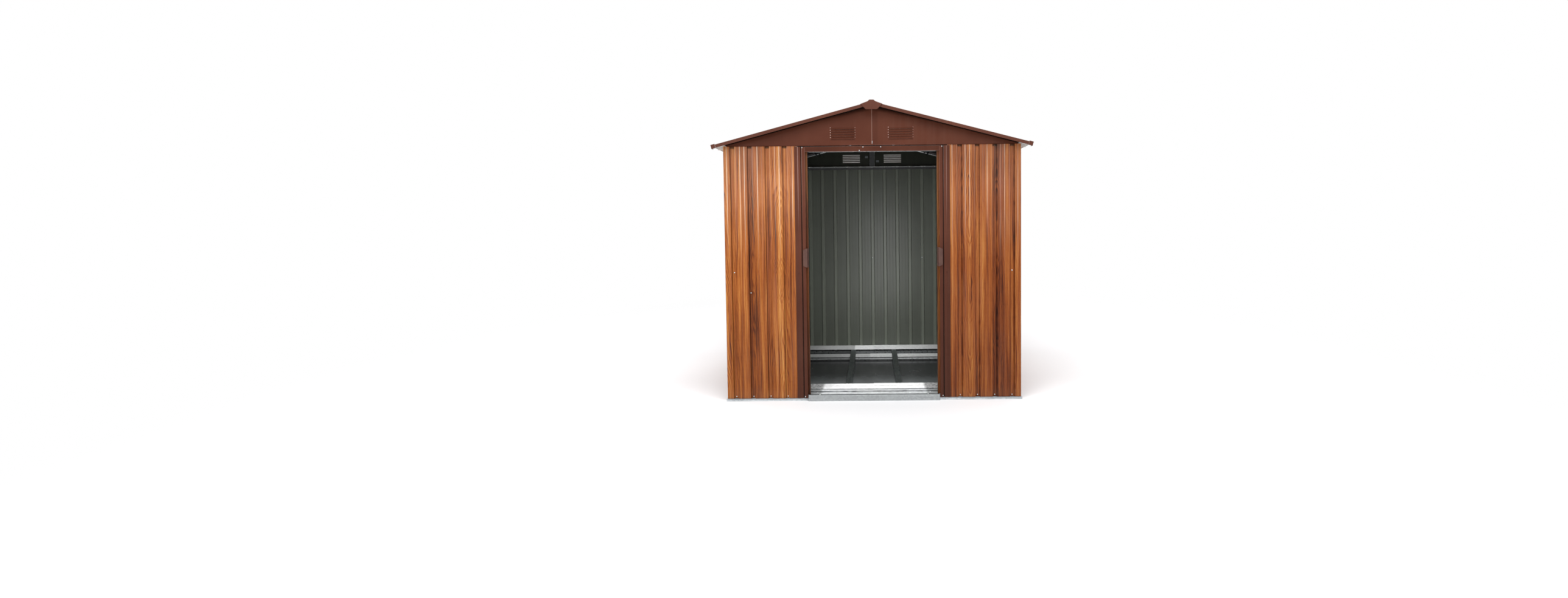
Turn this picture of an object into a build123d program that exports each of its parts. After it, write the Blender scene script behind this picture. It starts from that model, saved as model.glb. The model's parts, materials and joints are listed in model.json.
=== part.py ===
from build123d import *
import math
import os

# Metal storage shed with wood-look wall sheets and two sliding doors.
# Millimetres. +Z is up, the doorway faces -Y, +X is to the right of someone who looks
# in through the doorway. The origin is on the ground, under the middle of the shed.

# Sheet steel
sheet = 1.0
rail_sheet = 1.2
seat_gap = 0.3

# Walls
wall_width = 1820.0
wall_depth = 1084.0
rib_spaces = 8
first_front_rib = 5
corner_rib = 54.0
rib_width = 30.0
rib_slope = 4.0
rib_depth = 8.0
bead_width = 3.0
bead_height = 0.8
bead_spacing = 27.0
wall_foot = 14.0
seam_lap = 3.0

# Roof
roof_pitch = 14.7
side_overhang = 52.0
end_overhang = 55.0
roof_line_at_wall = 1585.3
roof_rib_depth = 8.0
trim_face = 20.0
trim_flange = 20.0
eaves_face = 5.0
ridge_cap_rise = 9.0
ridge_cap_flat = 12.0
ridge_cap_shoulder = 24.0
ridge_cap_shoulder_drop = 0.7
ridge_cap_edge = 66.0
ridge_end_rim = 10.0
ridge_end_thickness = 2.0
ridge_end_waist = 52.0
ridge_end_waist_drop = 30.4
ridge_end_chin = 34.0
ridge_end_chin_drop = 48.2
corner_cap_size = 26.0
corner_cap_height = 26.0
corner_cap_wall = 3.0

# Doorway
jamb_outer = 475.0
jamb_bend = 454.0
jamb_bend_proud = 2.0
jamb_lap = 15.0
groove_outer = 437.0
groove_inner = 431.0
groove_depth = 9.0
lip_inner = 410.0
lip_hem = 3.0
header_under_track = 4.5
header_height = 31.5
sill_half_width = 405.0
sill_height = 33.5
sill_proud = 15.0

# Doors
door_travel = 394.5
door_gap = 5.0
door_overlap = 25.0
door_clear = 7.5
door_thickness = 13.7
door_strip = 22.0
door_rib_depth = 5.0
door_bottom = 24.0
door_over_track = 5.0
door_bar_height = 40.0
low_bar_inset = 36.0
top_bar_inset = 45.0
handle_height = 117.0
handle_middle = 886.5
handle_wall = 2.2
handle_base = 6.0
handle_grip = 25.0
handle_stand_off = 7.0
handle_taper = 11.0
hanger_width = 60.0
hanger_inset = 70.0
hook_clear = 2.0
hook_depth = 6.0

# Upper door track and top rails
track_lip_height = 7.0
track_height = 32.0
track_under_wall = 2.35
track_front = 37.0
track_back = 44.0
rail_drop = 23.0
rail_shelf = 18.0
rail_return = 5.0

# Gables
gable_shadow_gap = 4.5
gable_inset = 20.0
gable_seat = 1.0
gable_flange = 12.0
gable_joint = 0.2
drip_height = 4.0
drip_reach = 3.0
drip_lap = 2.0
louvre_middle = 176.5
louvre_level = 1644.3
louvre_length = 149.0
louvre_pitch = 14.9
louvre_count = 5
louvre_slot = 9.0
louvre_depth = 6.5
louvre_brow = 1.3
louvre_hem = 1.5
louvre_end_slope = 4.0
brace_width = 44.0
brace_flange = 12.0
brace_end_gap = 8.0

# Roof beams
ridge_beam_width = 30.0
ridge_beam_height = 40.0
roof_beam_at = 460.0
roof_beam_size = 30.0

# Floor frame
foot_out = 6.0
foot_lip = 15.0
foot_groove_top = 11.5
foot_groove_bottom = 3.5
foot_groove_slope = 2.0
foot_groove_depth = 3.0
floor_height = 30.0
front_upright = 32.0
guide_front = 36.6
guide_front_height = 24.0
guide_step = 69.0
guide_back = 95.0
guide_depth = 12.0
tread_start = 107.0
tread_end = 192.0
rear_rail_depth = 133.0
side_rail_depth = 60.0
rail_lap = 40.0
bar_at = 168.0
bar_width = 40.0
bar_height = 27.0
cross_start = 750.0
cross_end = 832.0
cross_end_gap = 2.0
cross_joint_at = -29.0
floor_sheet_thickness = 1.0

# Sizes that follow from the ones above
half_width = wall_width / 2
half_depth = wall_depth / 2
rib_pitch = (half_width - corner_rib) / rib_spaces
rib_back = rib_depth + sheet
slope = math.radians(roof_pitch)
ridge_line = roof_line_at_wall + half_width * math.tan(slope)
roof_half_width = half_width + side_overhang
roof_half_depth = half_depth + end_overhang
panel_drop = (sheet + seat_gap) / math.cos(slope)
roof_under_drop = (sheet + seat_gap + roof_rib_depth + sheet) / math.cos(slope)
frame_back = rib_back + seat_gap


def roof_line(x):
    return ridge_line - abs(x) * math.tan(slope)


def roof_underside(x):
    return roof_line(x) - roof_under_drop


def gable_edge(x):
    return roof_underside(x) - gable_seat


corner_end = rib_pitch * rib_spaces + rib_width / 2 + seam_lap
side_wall_top = roof_underside(half_width) - seat_gap
end_wall_top = gable_edge(corner_end) - sheet / math.cos(slope) - seat_gap
gable_end = half_width - gable_inset
track_top = side_wall_top - track_under_wall
track_bottom = track_top - track_height
rail_top = track_top + rail_sheet
header_top = track_top - header_under_track
header_bottom = header_top - header_height
gable_bottom = header_top + gable_shadow_gap
door_top = track_bottom + door_over_track
top_bar_level = door_top - top_bar_inset
low_bar_level = door_bottom + low_bar_inset
door_bar_levels = [low_bar_level, (door_bottom + door_top) / 2, top_bar_level]
cover_back = -half_depth - bead_height - seat_gap
face_y = cover_back - sheet
lap = rail_sheet + seat_gap

parts = {}


def both_sides(name, solid):
    """The left piece, and its mirror image on the right."""
    parts[name + "_left"] = solid
    parts[name + "_right"] = mirror(solid, Plane.YZ)


def pair(solid, plane):
    """A piece and its mirror image, which don't touch, as one node."""
    return Part() + [solid, mirror(solid, plane)]


def four_corners(solid):
    """A piece of the front left corner, repeated at all four corners."""
    front_pair = pair(solid, Plane.YZ)
    return Part() + [front_pair, Rot(0, 0, 180) * front_pair]


def thin_outline(path, thickness):
    """The closed outline of a folded sheet, whose left-hand face is the given path."""
    normals = []
    for (ax, ay), (bx, by) in zip(path, path[1:]):
        length = math.hypot(bx - ax, by - ay)
        normals.append(((by - ay) / length, (ax - bx) / length))
    other = []
    for index, (px, py) in enumerate(path):
        before = normals[max(index - 1, 0)]
        after = normals[min(index, len(normals) - 1)]
        mx, my = before[0] + after[0], before[1] + after[1]
        scale = 2 * thickness / (mx * mx + my * my)
        other.append((px + mx * scale, py + my * scale))
    return path + other[::-1]


def outside_of(path, distance):
    """The path of a sheet that lies over another, the given distance away from it."""
    return thin_outline(path, distance)[len(path):][::-1]


def plan_sheet(path, thickness, bottom, top):
    """A folded sheet that stands upright: its path is drawn in plan, as X and Y."""
    face = make_face(Polyline(*thin_outline(path, thickness), close=True))
    return extrude(Pos(0, 0, bottom) * face, top - bottom)


def rail(path, thickness, start, end):
    """A folded rail along X: its path is drawn as Y and Z."""
    face = make_face(Plane.YZ * Polyline(*thin_outline(path, thickness), close=True))
    return Pos(start, 0, 0) * extrude(face, end - start, dir=(1, 0, 0))


def beam(path, thickness, start, end):
    """A folded rail along Y: its path is drawn as X and Z."""
    points = [(x, 0, z) for x, z in thin_outline(path, thickness)]
    face = make_face(Polyline(*points, close=True))
    return Pos(0, start, 0) * extrude(face, end - start, dir=(0, 1, 0))


def block(low, high):
    """A plain block between two opposite corners."""
    size = [b - a for a, b in zip(low, high)]
    middle = [(a + b) / 2 for a, b in zip(low, high)]
    return Pos(*middle) * Box(*size)


def ribbed_line(start, end, centres, depth, beads=True):
    """Distance along the sheet, and depth behind its raised face, from start to end."""
    line = [(start, 0.0)]
    previous = None
    for centre in centres:
        if beads and previous is not None:
            middle = (previous + centre) / 2
            for bead in (middle - bead_spacing / 2, middle + bead_spacing / 2):
                line.append((bead - bead_width / 2, 0.0))
                line.append((bead, -bead_height))
                line.append((bead + bead_width / 2, 0.0))
        half = rib_width / 2
        line.append((centre - half, 0.0))
        line.append((centre - half + rib_slope, depth))
        line.append((centre + half - rib_slope, depth))
        line.append((centre + half, 0.0))
        previous = centre
    line.append((end, 0.0))
    return line


# Wall sheets

front = -half_depth
front_ribs = [-rib_pitch * count for count in range(rib_spaces, first_front_rib - 1, -1)]
front_line = ribbed_line(-corner_end, -jamb_outer + jamb_lap, front_ribs, rib_depth)
front_path = [(x, front + depth) for x, depth in reversed(front_line)]
both_sides("front_wall", plan_sheet(front_path, sheet, wall_foot, end_wall_top))

rear_ribs = [rib_pitch * count for count in range(-rib_spaces, rib_spaces + 1)]
rear_line = ribbed_line(-corner_end, corner_end, rear_ribs, rib_depth)
rear_path = [(x, half_depth - depth) for x, depth in rear_line]
parts["rear_wall"] = plan_sheet(rear_path, sheet, wall_foot, end_wall_top)

side_rib_count = int(wall_depth / rib_pitch)
side_ribs = [rib_pitch * (count - (side_rib_count - 1) / 2) for count in range(side_rib_count)]
side_end = side_ribs[-1] + rib_width / 2 + seam_lap
side_line = ribbed_line(-side_end, side_end, side_ribs, rib_depth)
side_path = [(-half_width + depth, y) for y, depth in side_line]
both_sides("side_wall", plan_sheet(side_path, sheet, wall_foot, side_wall_top))

# Corner sheets, folded round each corner from one rib to the next
corner_path = [
    (-corner_end - seat_gap, front),
    (-half_width, front),
    (-half_width, -side_end - seat_gap),
]
corner_sheet = plan_sheet(corner_path, sheet, wall_foot, side_wall_top)
parts["corner_sheets_front"] = pair(corner_sheet, Plane.YZ)
parts["corner_sheets_rear"] = pair(mirror(corner_sheet, Plane.XZ), Plane.YZ)

# Door jambs: an outer face with a soft bend, a groove and a lip that the door slides behind
jamb_path = [
    (-lip_inner, face_y + lip_hem),
    (-lip_inner, face_y),
    (-groove_inner, face_y),
    (-groove_inner, front + groove_depth - sheet),
    (-groove_outer, front + groove_depth - sheet),
    (-groove_outer, face_y),
    (-jamb_bend, face_y - jamb_bend_proud),
    (-jamb_outer, face_y),
]
both_sides("jamb", plan_sheet(jamb_path, sheet, wall_foot, header_top))

# Header between the jambs, flush with their lips
header_half = lip_inner - seat_gap
header_path = [
    (face_y + lip_hem, header_bottom + lip_hem),
    (face_y + lip_hem, header_bottom),
    (face_y, header_bottom),
    (face_y, header_top),
    (front + frame_back - seat_gap, header_top),
]
parts["door_header"] = rail(header_path, sheet, -header_half, header_half)

# Upper door track, which is also the top rail of the front wall
inner_half = half_width - frame_back
track_path = [
    (front + frame_back + rail_sheet, track_top - rib_depth),
    (front + frame_back + rail_sheet, track_top),
    (front + track_back, track_top),
    (front + track_back, track_bottom),
    (front + track_front, track_bottom),
    (front + track_front, track_bottom + track_lip_height),
]
parts["door_track_upper"] = rail(track_path, -rail_sheet, -inner_half, inner_half)

# Top rails of the rear and side walls
rail_path = [
    (frame_back, rail_top - rail_drop),
    (frame_back, rail_top),
    (frame_back + rail_shelf, rail_top),
    (frame_back + rail_shelf, rail_top - rail_return),
]
rear_rail_path = [(half_depth - depth, level) for depth, level in rail_path]
parts["top_rail_rear"] = rail(rear_rail_path, -rail_sheet, -inner_half, inner_half)
side_rail_path = [(-half_width + depth, level) for depth, level in rail_path]
side_rail_start = front + track_back + rail_sheet + seat_gap
side_rail_stop = half_depth - frame_back - rail_shelf - seat_gap
top_rail = beam(side_rail_path, rail_sheet, side_rail_start, side_rail_stop)
both_sides("top_rail", top_rail)


# Gables, in two halves that meet at a folded joint, each with five pressed louvres

def louvre_hood(length, depth, height, hem):
    """A hood that leans out from its top edge, with sloping ends; its mouth is below."""
    hood = Wedge(
        length, depth, height, louvre_end_slope, 0, length - louvre_end_slope, hem,
        align=(Align.CENTER, Align.MIN, Align.MIN),
    )
    return mirror(hood, Plane.XZ)


def gable_half():
    drip_top = gable_bottom + drip_height
    outline = [
        (0.0, drip_top),
        (0.0, gable_edge(0.0)),
        (-gable_end, gable_edge(gable_end)),
        (-gable_end, drip_top),
    ]
    points = [(x, face_y, z) for x, z in outline]
    plate = extrude(make_face(Polyline(*points, close=True)), sheet, dir=(0, 1, 0))
    top_path = [(-gable_end, gable_edge(gable_end)), (0.0, gable_edge(0.0))]
    plate += beam(top_path, sheet, cover_back, front + gable_flange)
    drip_path = [
        (face_y, drip_top + drip_lap),
        (face_y, drip_top),
        (face_y - drip_reach, gable_bottom),
    ]
    plate += rail(drip_path, -sheet, -gable_end, 0.0)
    joint_low = (-sheet - gable_joint, cover_back, end_wall_top + seat_gap)
    joint_high = (0.0, front + gable_flange, gable_edge(0.0) - sheet)
    plate += block(joint_low, joint_high)
    plate -= block((-gable_joint, face_y - sheet, 0.0), (sheet, half_depth, ridge_line))
    for count in range(louvre_count):
        middle = louvre_level + (count - (louvre_count - 1) / 2) * louvre_pitch
        bottom = middle - louvre_slot / 2
        outer_length = louvre_length + 2 * sheet
        hood = louvre_hood(outer_length, louvre_depth, louvre_slot + louvre_brow, louvre_hem)
        hood -= louvre_hood(louvre_length, louvre_depth - sheet, louvre_slot, louvre_hem - sheet)
        plate += Pos(-louvre_middle, face_y, bottom) * hood
        slot_low = (-louvre_middle - louvre_length / 2, face_y, bottom)
        slot_high = (-louvre_middle + louvre_length / 2, front, bottom + louvre_slot)
        plate -= block(slot_low, slot_high)
    return plate


gable = gable_half()
both_sides("gable_front", gable)
parts["gable_rear_left"] = mirror(gable, Plane.XZ)
parts["gable_rear_right"] = Rot(0, 0, 180) * gable

# Upright brace behind the joint of each gable
brace_y = front + gable_flange + seat_gap
brace_path = [
    (-brace_width / 2, brace_y + brace_flange),
    (-brace_width / 2, brace_y),
    (brace_width / 2, brace_y),
    (brace_width / 2, brace_y + brace_flange),
]
brace_top = gable_edge(brace_width / 2) - brace_end_gap
gable_brace = plan_sheet(brace_path, -rail_sheet, rail_top + seat_gap, brace_top)
parts["gable_braces"] = pair(gable_brace, Plane.XZ)

# Ridge beam and the two roof beams, which carry the roof sheets
beam_start = brace_y + rail_sheet + seat_gap
beam_top = roof_underside(ridge_beam_width / 2) - seat_gap
ridge_beam_path = [
    (-ridge_beam_width / 2, beam_top - ridge_beam_height),
    (-ridge_beam_width / 2, beam_top),
    (ridge_beam_width / 2, beam_top),
    (ridge_beam_width / 2, beam_top - ridge_beam_height),
]
parts["ridge_beam"] = beam(ridge_beam_path, rail_sheet, beam_start, -beam_start)
roof_beam_path = [
    (-roof_beam_size / 2, -roof_beam_size),
    (-roof_beam_size / 2, 0.0),
    (roof_beam_size / 2, 0.0),
    (roof_beam_size / 2, -roof_beam_size),
]
roof_beam_start = front + gable_flange + seat_gap
roof_beam = beam(roof_beam_path, rail_sheet, roof_beam_start, -roof_beam_start)
roof_beam_level = roof_underside(roof_beam_at) - seat_gap / math.cos(slope)
roof_beam_place = Pos(-roof_beam_at, 0, roof_beam_level) * Rot(0, -roof_pitch, 0)
parts["roof_beams"] = pair(roof_beam_place * roof_beam, Plane.YZ)

# Roof sheets, ribbed down the slope
panel_front = -roof_half_depth + sheet + seat_gap
roof_rib_count = 2 * int(-panel_front / rib_pitch)
roof_ribs = [rib_pitch * (count - (roof_rib_count - 1) / 2) for count in range(roof_rib_count)]
roof_section = ribbed_line(panel_front, -panel_front, roof_ribs, roof_rib_depth, beads=False)
roof_top = ridge_line - panel_drop
roof_run = roof_half_width / math.cos(slope) - panel_drop * math.sin(slope) - sheet - seat_gap
roof_plane = Plane(
    origin=(0, 0, roof_top),
    x_dir=(0, 1, 0),
    z_dir=(-math.cos(slope), 0, -math.sin(slope)),
)
roof_face = make_face(Polyline(*thin_outline(roof_section, -sheet), close=True))
roof_panel = extrude(roof_plane * roof_face, roof_run)
ridge_cut = block((-seat_gap, -roof_half_depth, 0), (roof_half_width, roof_half_depth, 2 * ridge_line))
both_sides("roof_panel", roof_panel - ridge_cut)

# Edge trims of the roof: along the two slopes at each end, and along the eaves
rake_start = ridge_cap_edge - ridge_end_rim
rake_run = (roof_half_width - rake_start) / math.cos(slope)
rake_path = [
    (-roof_half_depth + trim_flange, 0.0),
    (-roof_half_depth, 0.0),
    (-roof_half_depth, trim_face),
]
rake_face = make_face(Polyline(*thin_outline(rake_path, sheet), close=True))
rake_plane = Plane(
    origin=(-rake_start, 0, roof_line(rake_start)),
    x_dir=(0, 1, 0),
    z_dir=(-math.cos(slope), 0, -math.sin(slope)),
)
rake_trim = extrude(rake_plane * rake_face, rake_run - trim_flange)
parts["rake_trims_front"] = pair(rake_trim, Plane.YZ)
parts["rake_trims_rear"] = pair(mirror(rake_trim, Plane.XZ), Plane.YZ)

eaves_edge = -roof_half_width
eaves_path = [
    (eaves_edge + eaves_face * math.sin(slope), roof_line(eaves_edge) - eaves_face * math.cos(slope)),
    (eaves_edge, roof_line(eaves_edge)),
    (eaves_edge + trim_flange, roof_line(eaves_edge + trim_flange)),
]
eaves_end = roof_half_depth - trim_flange - seat_gap
parts["eaves_trims"] = pair(beam(eaves_path, sheet, -eaves_end, eaves_end), Plane.YZ)

# Moulded cap over each corner of the roof, square to the slope
cap_reach = seat_gap + corner_cap_wall
cap_near = -roof_half_depth - cap_reach
cap_bottom = cap_reach - corner_cap_height
cap_inside = corner_cap_size - cap_reach
corner_cap = block(
    (-cap_reach, cap_near, cap_bottom),
    (cap_inside, cap_near + corner_cap_size, cap_reach),
)
corner_cap -= block(
    (-seat_gap, -roof_half_depth - seat_gap, cap_bottom - corner_cap_wall),
    (cap_inside + corner_cap_wall, cap_near + corner_cap_size + corner_cap_wall, seat_gap),
)
cap_place = Pos(-roof_half_width, 0, roof_line(roof_half_width)) * Rot(0, -roof_pitch, 0)
parts["corner_caps"] = four_corners(cap_place * corner_cap)

# Ridge cap, and the plate that closes it at each end
cap_right = [
    (ridge_cap_flat, ridge_line + ridge_cap_rise),
    (ridge_cap_shoulder, ridge_line - ridge_cap_shoulder_drop),
    (ridge_cap_edge, roof_line(ridge_cap_edge) + panel_drop),
]
cap_path = [(-x, z) for x, z in cap_right[::-1]] + cap_right
cap_end = roof_half_depth + sheet
parts["ridge_cap"] = beam(cap_path, sheet, -cap_end, cap_end)
end_right = cap_right + [
    (ridge_end_waist, ridge_line - ridge_end_waist_drop),
    (ridge_end_chin, ridge_line - ridge_end_chin_drop),
]
end_outline = [(-x, z) for x, z in end_right[::-1]] + end_right
end_points = [(x, -cap_end - seat_gap, z) for x, z in end_outline]
end_face = make_face(Polyline(*end_points, close=True))
ridge_end = extrude(end_face, ridge_end_thickness, dir=(0, -1, 0))
parts["ridge_ends"] = pair(ridge_end, Plane.XZ)

# Floor frame
groove_in = foot_groove_depth - foot_out
groove_places = [-foot_out, groove_in, groove_in, -foot_out]
groove_levels = [
    foot_groove_top,
    foot_groove_top - foot_groove_slope,
    foot_groove_bottom + foot_groove_slope,
    foot_groove_bottom,
]
foot_path = [(-foot_out, foot_lip)]
foot_path += list(zip(groove_places, groove_levels))
foot_path += [(-foot_out, 0.0), (frame_back + rail_sheet, 0.0)]
foot_half = half_width + foot_out
front_foot = [(front + depth, level) for depth, level in foot_path]
front_upright_path = [
    (front + frame_back + rail_sheet, 0.0),
    (front + frame_back + rail_sheet, front_upright),
]
floor_front = rail(front_foot, -rail_sheet, -foot_half, foot_half)
floor_front += rail(front_upright_path, -rail_sheet, -inner_half, inner_half)
parts["floor_rail_front"] = floor_front

rear_foot = [(half_depth - depth, level) for depth, level in foot_path]
rear_flange = [
    (half_depth - frame_back, 0.0),
    (half_depth - frame_back, floor_height),
    (half_depth - rear_rail_depth, floor_height),
    (half_depth - rear_rail_depth, 0.0),
]
rear_flange_half = inner_half - rail_sheet - seat_gap
floor_rear = rail(rear_foot, rail_sheet, -foot_half, foot_half)
floor_rear += rail(rear_flange, -rail_sheet, -rear_flange_half, rear_flange_half)
rear_over_front = half_depth - rear_rail_depth - lap
rear_over = [
    (half_depth - frame_back, floor_height + lap),
    (rear_over_front, floor_height + lap),
    (rear_over_front, 0.0),
]
rear_over_rail = rail(rear_over, -rail_sheet, 0.0, rear_flange_half)
parts["floor_rail_rear"] = Part() + [floor_rear, rear_over_rail]

side_foot = [(-half_width + depth, level) for depth, level in foot_path]
side_flange = [
    (-half_width + frame_back, 0.0),
    (-half_width + frame_back, floor_height),
    (-half_width + side_rail_depth, floor_height),
    (-half_width + side_rail_depth, 0.0),
]
foot_stop = half_depth - frame_back - rail_sheet - seat_gap
flange_stop = rear_over_front - seat_gap
floor_side = beam(side_foot, -rail_sheet, -foot_stop, foot_stop)
floor_side += beam(side_flange, rail_sheet, -foot_stop, flange_stop)
both_sides("floor_rail", floor_side)

# Lower door guide and the broad tread behind it, between the side rails
between_sides = half_width - side_rail_depth - seat_gap
guide_low = floor_height - guide_depth
rail_level = floor_height - rail_sheet
guide_front_level = guide_front_height - rail_sheet
guide_path = [
    (front + frame_back + rail_sheet + seat_gap, 0.0),
    (front + guide_front, 0.0),
    (front + guide_front, guide_front_level),
    (front + guide_step, guide_front_level),
    (front + guide_step, rail_level),
    (front + guide_back, rail_level),
    (front + guide_back, guide_low),
]
parts["door_guide_lower"] = rail(guide_path, -rail_sheet, -between_sides, between_sides)
tread_path = [
    (front + tread_start, 0.0),
    (front + tread_start, rail_level),
    (front + tread_end, rail_level),
    (front + tread_end, 0.0),
]
tread_over = outside_of(tread_path, -lap)
tread_left = rail(tread_path, -rail_sheet, -between_sides, rail_lap)
tread_right = rail(tread_over, -rail_sheet, 0.0, between_sides)
parts["floor_tread_front"] = Part() + [tread_left, tread_right]

# Floor sheet, the two floor bars, and the cross rail in lengths between them
floor_start = front + tread_end + rail_sheet + lap + seat_gap
floor_stop = rear_over_front - seat_gap
parts["floor_sheet"] = block(
    (-between_sides, floor_start, 0.0),
    (between_sides, floor_stop, floor_sheet_thickness),
)
on_floor = floor_sheet_thickness + seat_gap
bar_path = [
    (-bar_at - bar_width / 2, on_floor),
    (-bar_at - bar_width / 2, on_floor + bar_height),
    (-bar_at + bar_width / 2, on_floor + bar_height),
    (-bar_at + bar_width / 2, on_floor),
]
parts["floor_bars"] = pair(beam(bar_path, rail_sheet, floor_start, floor_stop), Plane.YZ)
cross_path = [
    (front + cross_start, on_floor),
    (front + cross_start, rail_level),
    (front + cross_end, rail_level),
    (front + cross_end, on_floor),
]
bar_outer = bar_at + bar_width / 2 + cross_end_gap
bar_inner = bar_at - bar_width / 2 - cross_end_gap
cross_over = outside_of(cross_path, -lap)
cross_outer = rail(cross_path, -rail_sheet, -between_sides, -bar_outer)
cross_left = rail(cross_path, -rail_sheet, -bar_inner, cross_joint_at + rail_lap)
cross_right = rail(cross_over, -rail_sheet, cross_joint_at, bar_inner)
parts["cross_rails"] = Part() + [pair(cross_outer, Plane.YZ), cross_left, cross_right]

# Sill plate in front of the doorway
sill_front = front - sill_proud
sill_path = [
    (sill_front, 0.0),
    (sill_front, sill_height),
    (front + frame_back - seat_gap, sill_height),
]
parts["door_sill"] = rail(sill_path, rail_sheet, -sill_half_width, sill_half_width)

# Doors, open as in the picture: each slides behind its wall sheet and jamb
door_front = front + rib_back + door_clear
door_back = door_front + door_thickness
door_edge = door_travel + door_gap / 2
door_width = lip_inner + door_overlap - door_gap / 2
door_tail = door_edge + door_width
door_rib_count = int((door_width - 2 * door_strip) / rib_pitch)
door_rib_middle = (door_edge + door_strip + door_tail) / 2
door_ribs = []
for count in range(door_rib_count):
    door_ribs.append(-door_rib_middle + rib_pitch * (count - (door_rib_count - 1) / 2))
door_line = ribbed_line(-door_tail, -door_edge, door_ribs, door_rib_depth)
leaf_path = [(-door_tail, door_back)]
leaf_path += [(x, door_front + depth) for x, depth in door_line]
leaf_path += [(-door_edge, door_back)]
both_sides("door", plan_sheet(leaf_path[::-1], sheet, door_bottom, door_top))

# Three bars across the back of each door
bar_front = door_front + door_rib_depth + sheet + seat_gap
door_bars = Part()
for level in door_bar_levels:
    bar_low = (-door_tail + sheet + seat_gap, bar_front, level - door_bar_height / 2)
    bar_high = (-door_edge - sheet - seat_gap, door_back, level + door_bar_height / 2)
    door_bars += block(bar_low, bar_high)
both_sides("door_bars", door_bars)

# Hangers that hook each door onto the upper track
hook_top = track_bottom + track_lip_height + seat_gap + rail_sheet
hook_back = front + track_front + hook_clear + rail_sheet
hanger_path = [
    (door_back + seat_gap, top_bar_level - door_bar_height / 2),
    (door_back + seat_gap, hook_top),
    (hook_back, hook_top),
    (hook_back, hook_top - hook_depth),
]
hangers = Part()
for middle in (-door_edge - hanger_inset, -door_tail + hanger_inset):
    hangers += rail(hanger_path, rail_sheet, middle - hanger_width / 2, middle + hanger_width / 2)
both_sides("door_hangers", hangers)

# Pull handles: a base on the leading edge, a web past the lip and a grip turned outwards
grip_front = face_y - handle_stand_off - handle_wall
handle_low = handle_middle - handle_height / 2
handle_high = handle_middle + handle_height / 2
handle_path = [
    (-door_edge, door_front - seat_gap - handle_wall),
    (-door_edge - handle_base + handle_wall, door_front - seat_gap - handle_wall),
    (-door_edge - handle_base + handle_wall, grip_front),
    (-door_edge - handle_base - handle_grip, grip_front),
]
handle = plan_sheet(handle_path, handle_wall, handle_low, handle_high)
for level, turn in ((handle_low, 1), (handle_high, -1)):
    corner = -door_edge - handle_base - handle_grip
    past = grip_front - handle_wall
    points = [
        (corner - handle_wall, past, level - turn * handle_wall),
        (corner + handle_grip, past, level - turn * handle_wall),
        (corner - handle_wall, past, level + turn * handle_taper),
    ]
    handle -= extrude(make_face(Polyline(*points, close=True)), 4 * handle_wall, dir=(0, 1, 0))
both_sides("door_handle", handle)

os.makedirs("parts", exist_ok=True)
for name, shape in parts.items():
    export_step(shape, f"parts/{name}.step")
    print(name, round(shape.volume))
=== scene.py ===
import json
import math
from functools import partialmethod

import bmesh
import bpy
from mathutils import Matrix, Vector
from mathutils.bvhtree import BVHTree


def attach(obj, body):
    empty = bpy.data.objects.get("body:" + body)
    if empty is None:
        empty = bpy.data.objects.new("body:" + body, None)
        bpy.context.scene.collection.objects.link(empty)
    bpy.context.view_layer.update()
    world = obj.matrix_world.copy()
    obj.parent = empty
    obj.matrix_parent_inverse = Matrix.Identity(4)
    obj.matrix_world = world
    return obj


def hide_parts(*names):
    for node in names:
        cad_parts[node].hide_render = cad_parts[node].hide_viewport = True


# Metal storage shed: wood-look wall sheets, brown trims, galvanised floor frame.
# Metres, in the frame of the solids: the doorway faces -Y and the ground is at Z = 0.

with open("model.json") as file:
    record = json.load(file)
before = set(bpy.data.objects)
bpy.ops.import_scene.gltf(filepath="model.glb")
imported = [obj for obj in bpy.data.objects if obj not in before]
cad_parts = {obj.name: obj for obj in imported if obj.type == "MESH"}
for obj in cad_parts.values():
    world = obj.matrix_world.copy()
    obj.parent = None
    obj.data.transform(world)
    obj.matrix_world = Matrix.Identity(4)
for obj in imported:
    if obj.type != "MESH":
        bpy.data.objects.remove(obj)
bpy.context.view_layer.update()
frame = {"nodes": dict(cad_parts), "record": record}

# Camera of the photograph, as fitted to the wall edges, rails and louvres
PHOTO_WIDTH = 2576
PHOTO_HEIGHT = 983
FOCAL_PIXELS = 710.19
CENTRE_PIXEL = (1430.14, 382.85)
CAMERA_PLACE = Vector((-0.0011, -3.1941, 1.1121))
CAMERA_TILT = 0.0284
CAMERA_ROLL = 0.0099
CAMERA_TURN = -0.0045
SENSOR = 36.0

# Main sizes of the shed, as in the solids
FRONT = -0.542
RIB_PITCH = 0.107
BEAD_PLACE = 0.0135
DOOR_RIB_AT = 0.62425
COVER_FACE = FRONT - 0.0021
ROOF_PITCH = math.radians(14.7)
RIDGE_LINE = 1.824

# Beyond these the sheets of the sides, ends and top of the shed begin
SIDES_FROM = 0.893
ENDS_FROM = 0.505
TOP_FROM = 1.573

# The front's beads stand this much nearer the doorway than in the solids
BEAD_LEAN = 0.0065

# Folds and hems
FOLD_RADIUS = 0.0014
FOLD_SHARE = 0.42
FOLD_LEAST_ANGLE = math.radians(14.0)


# Camera

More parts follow.
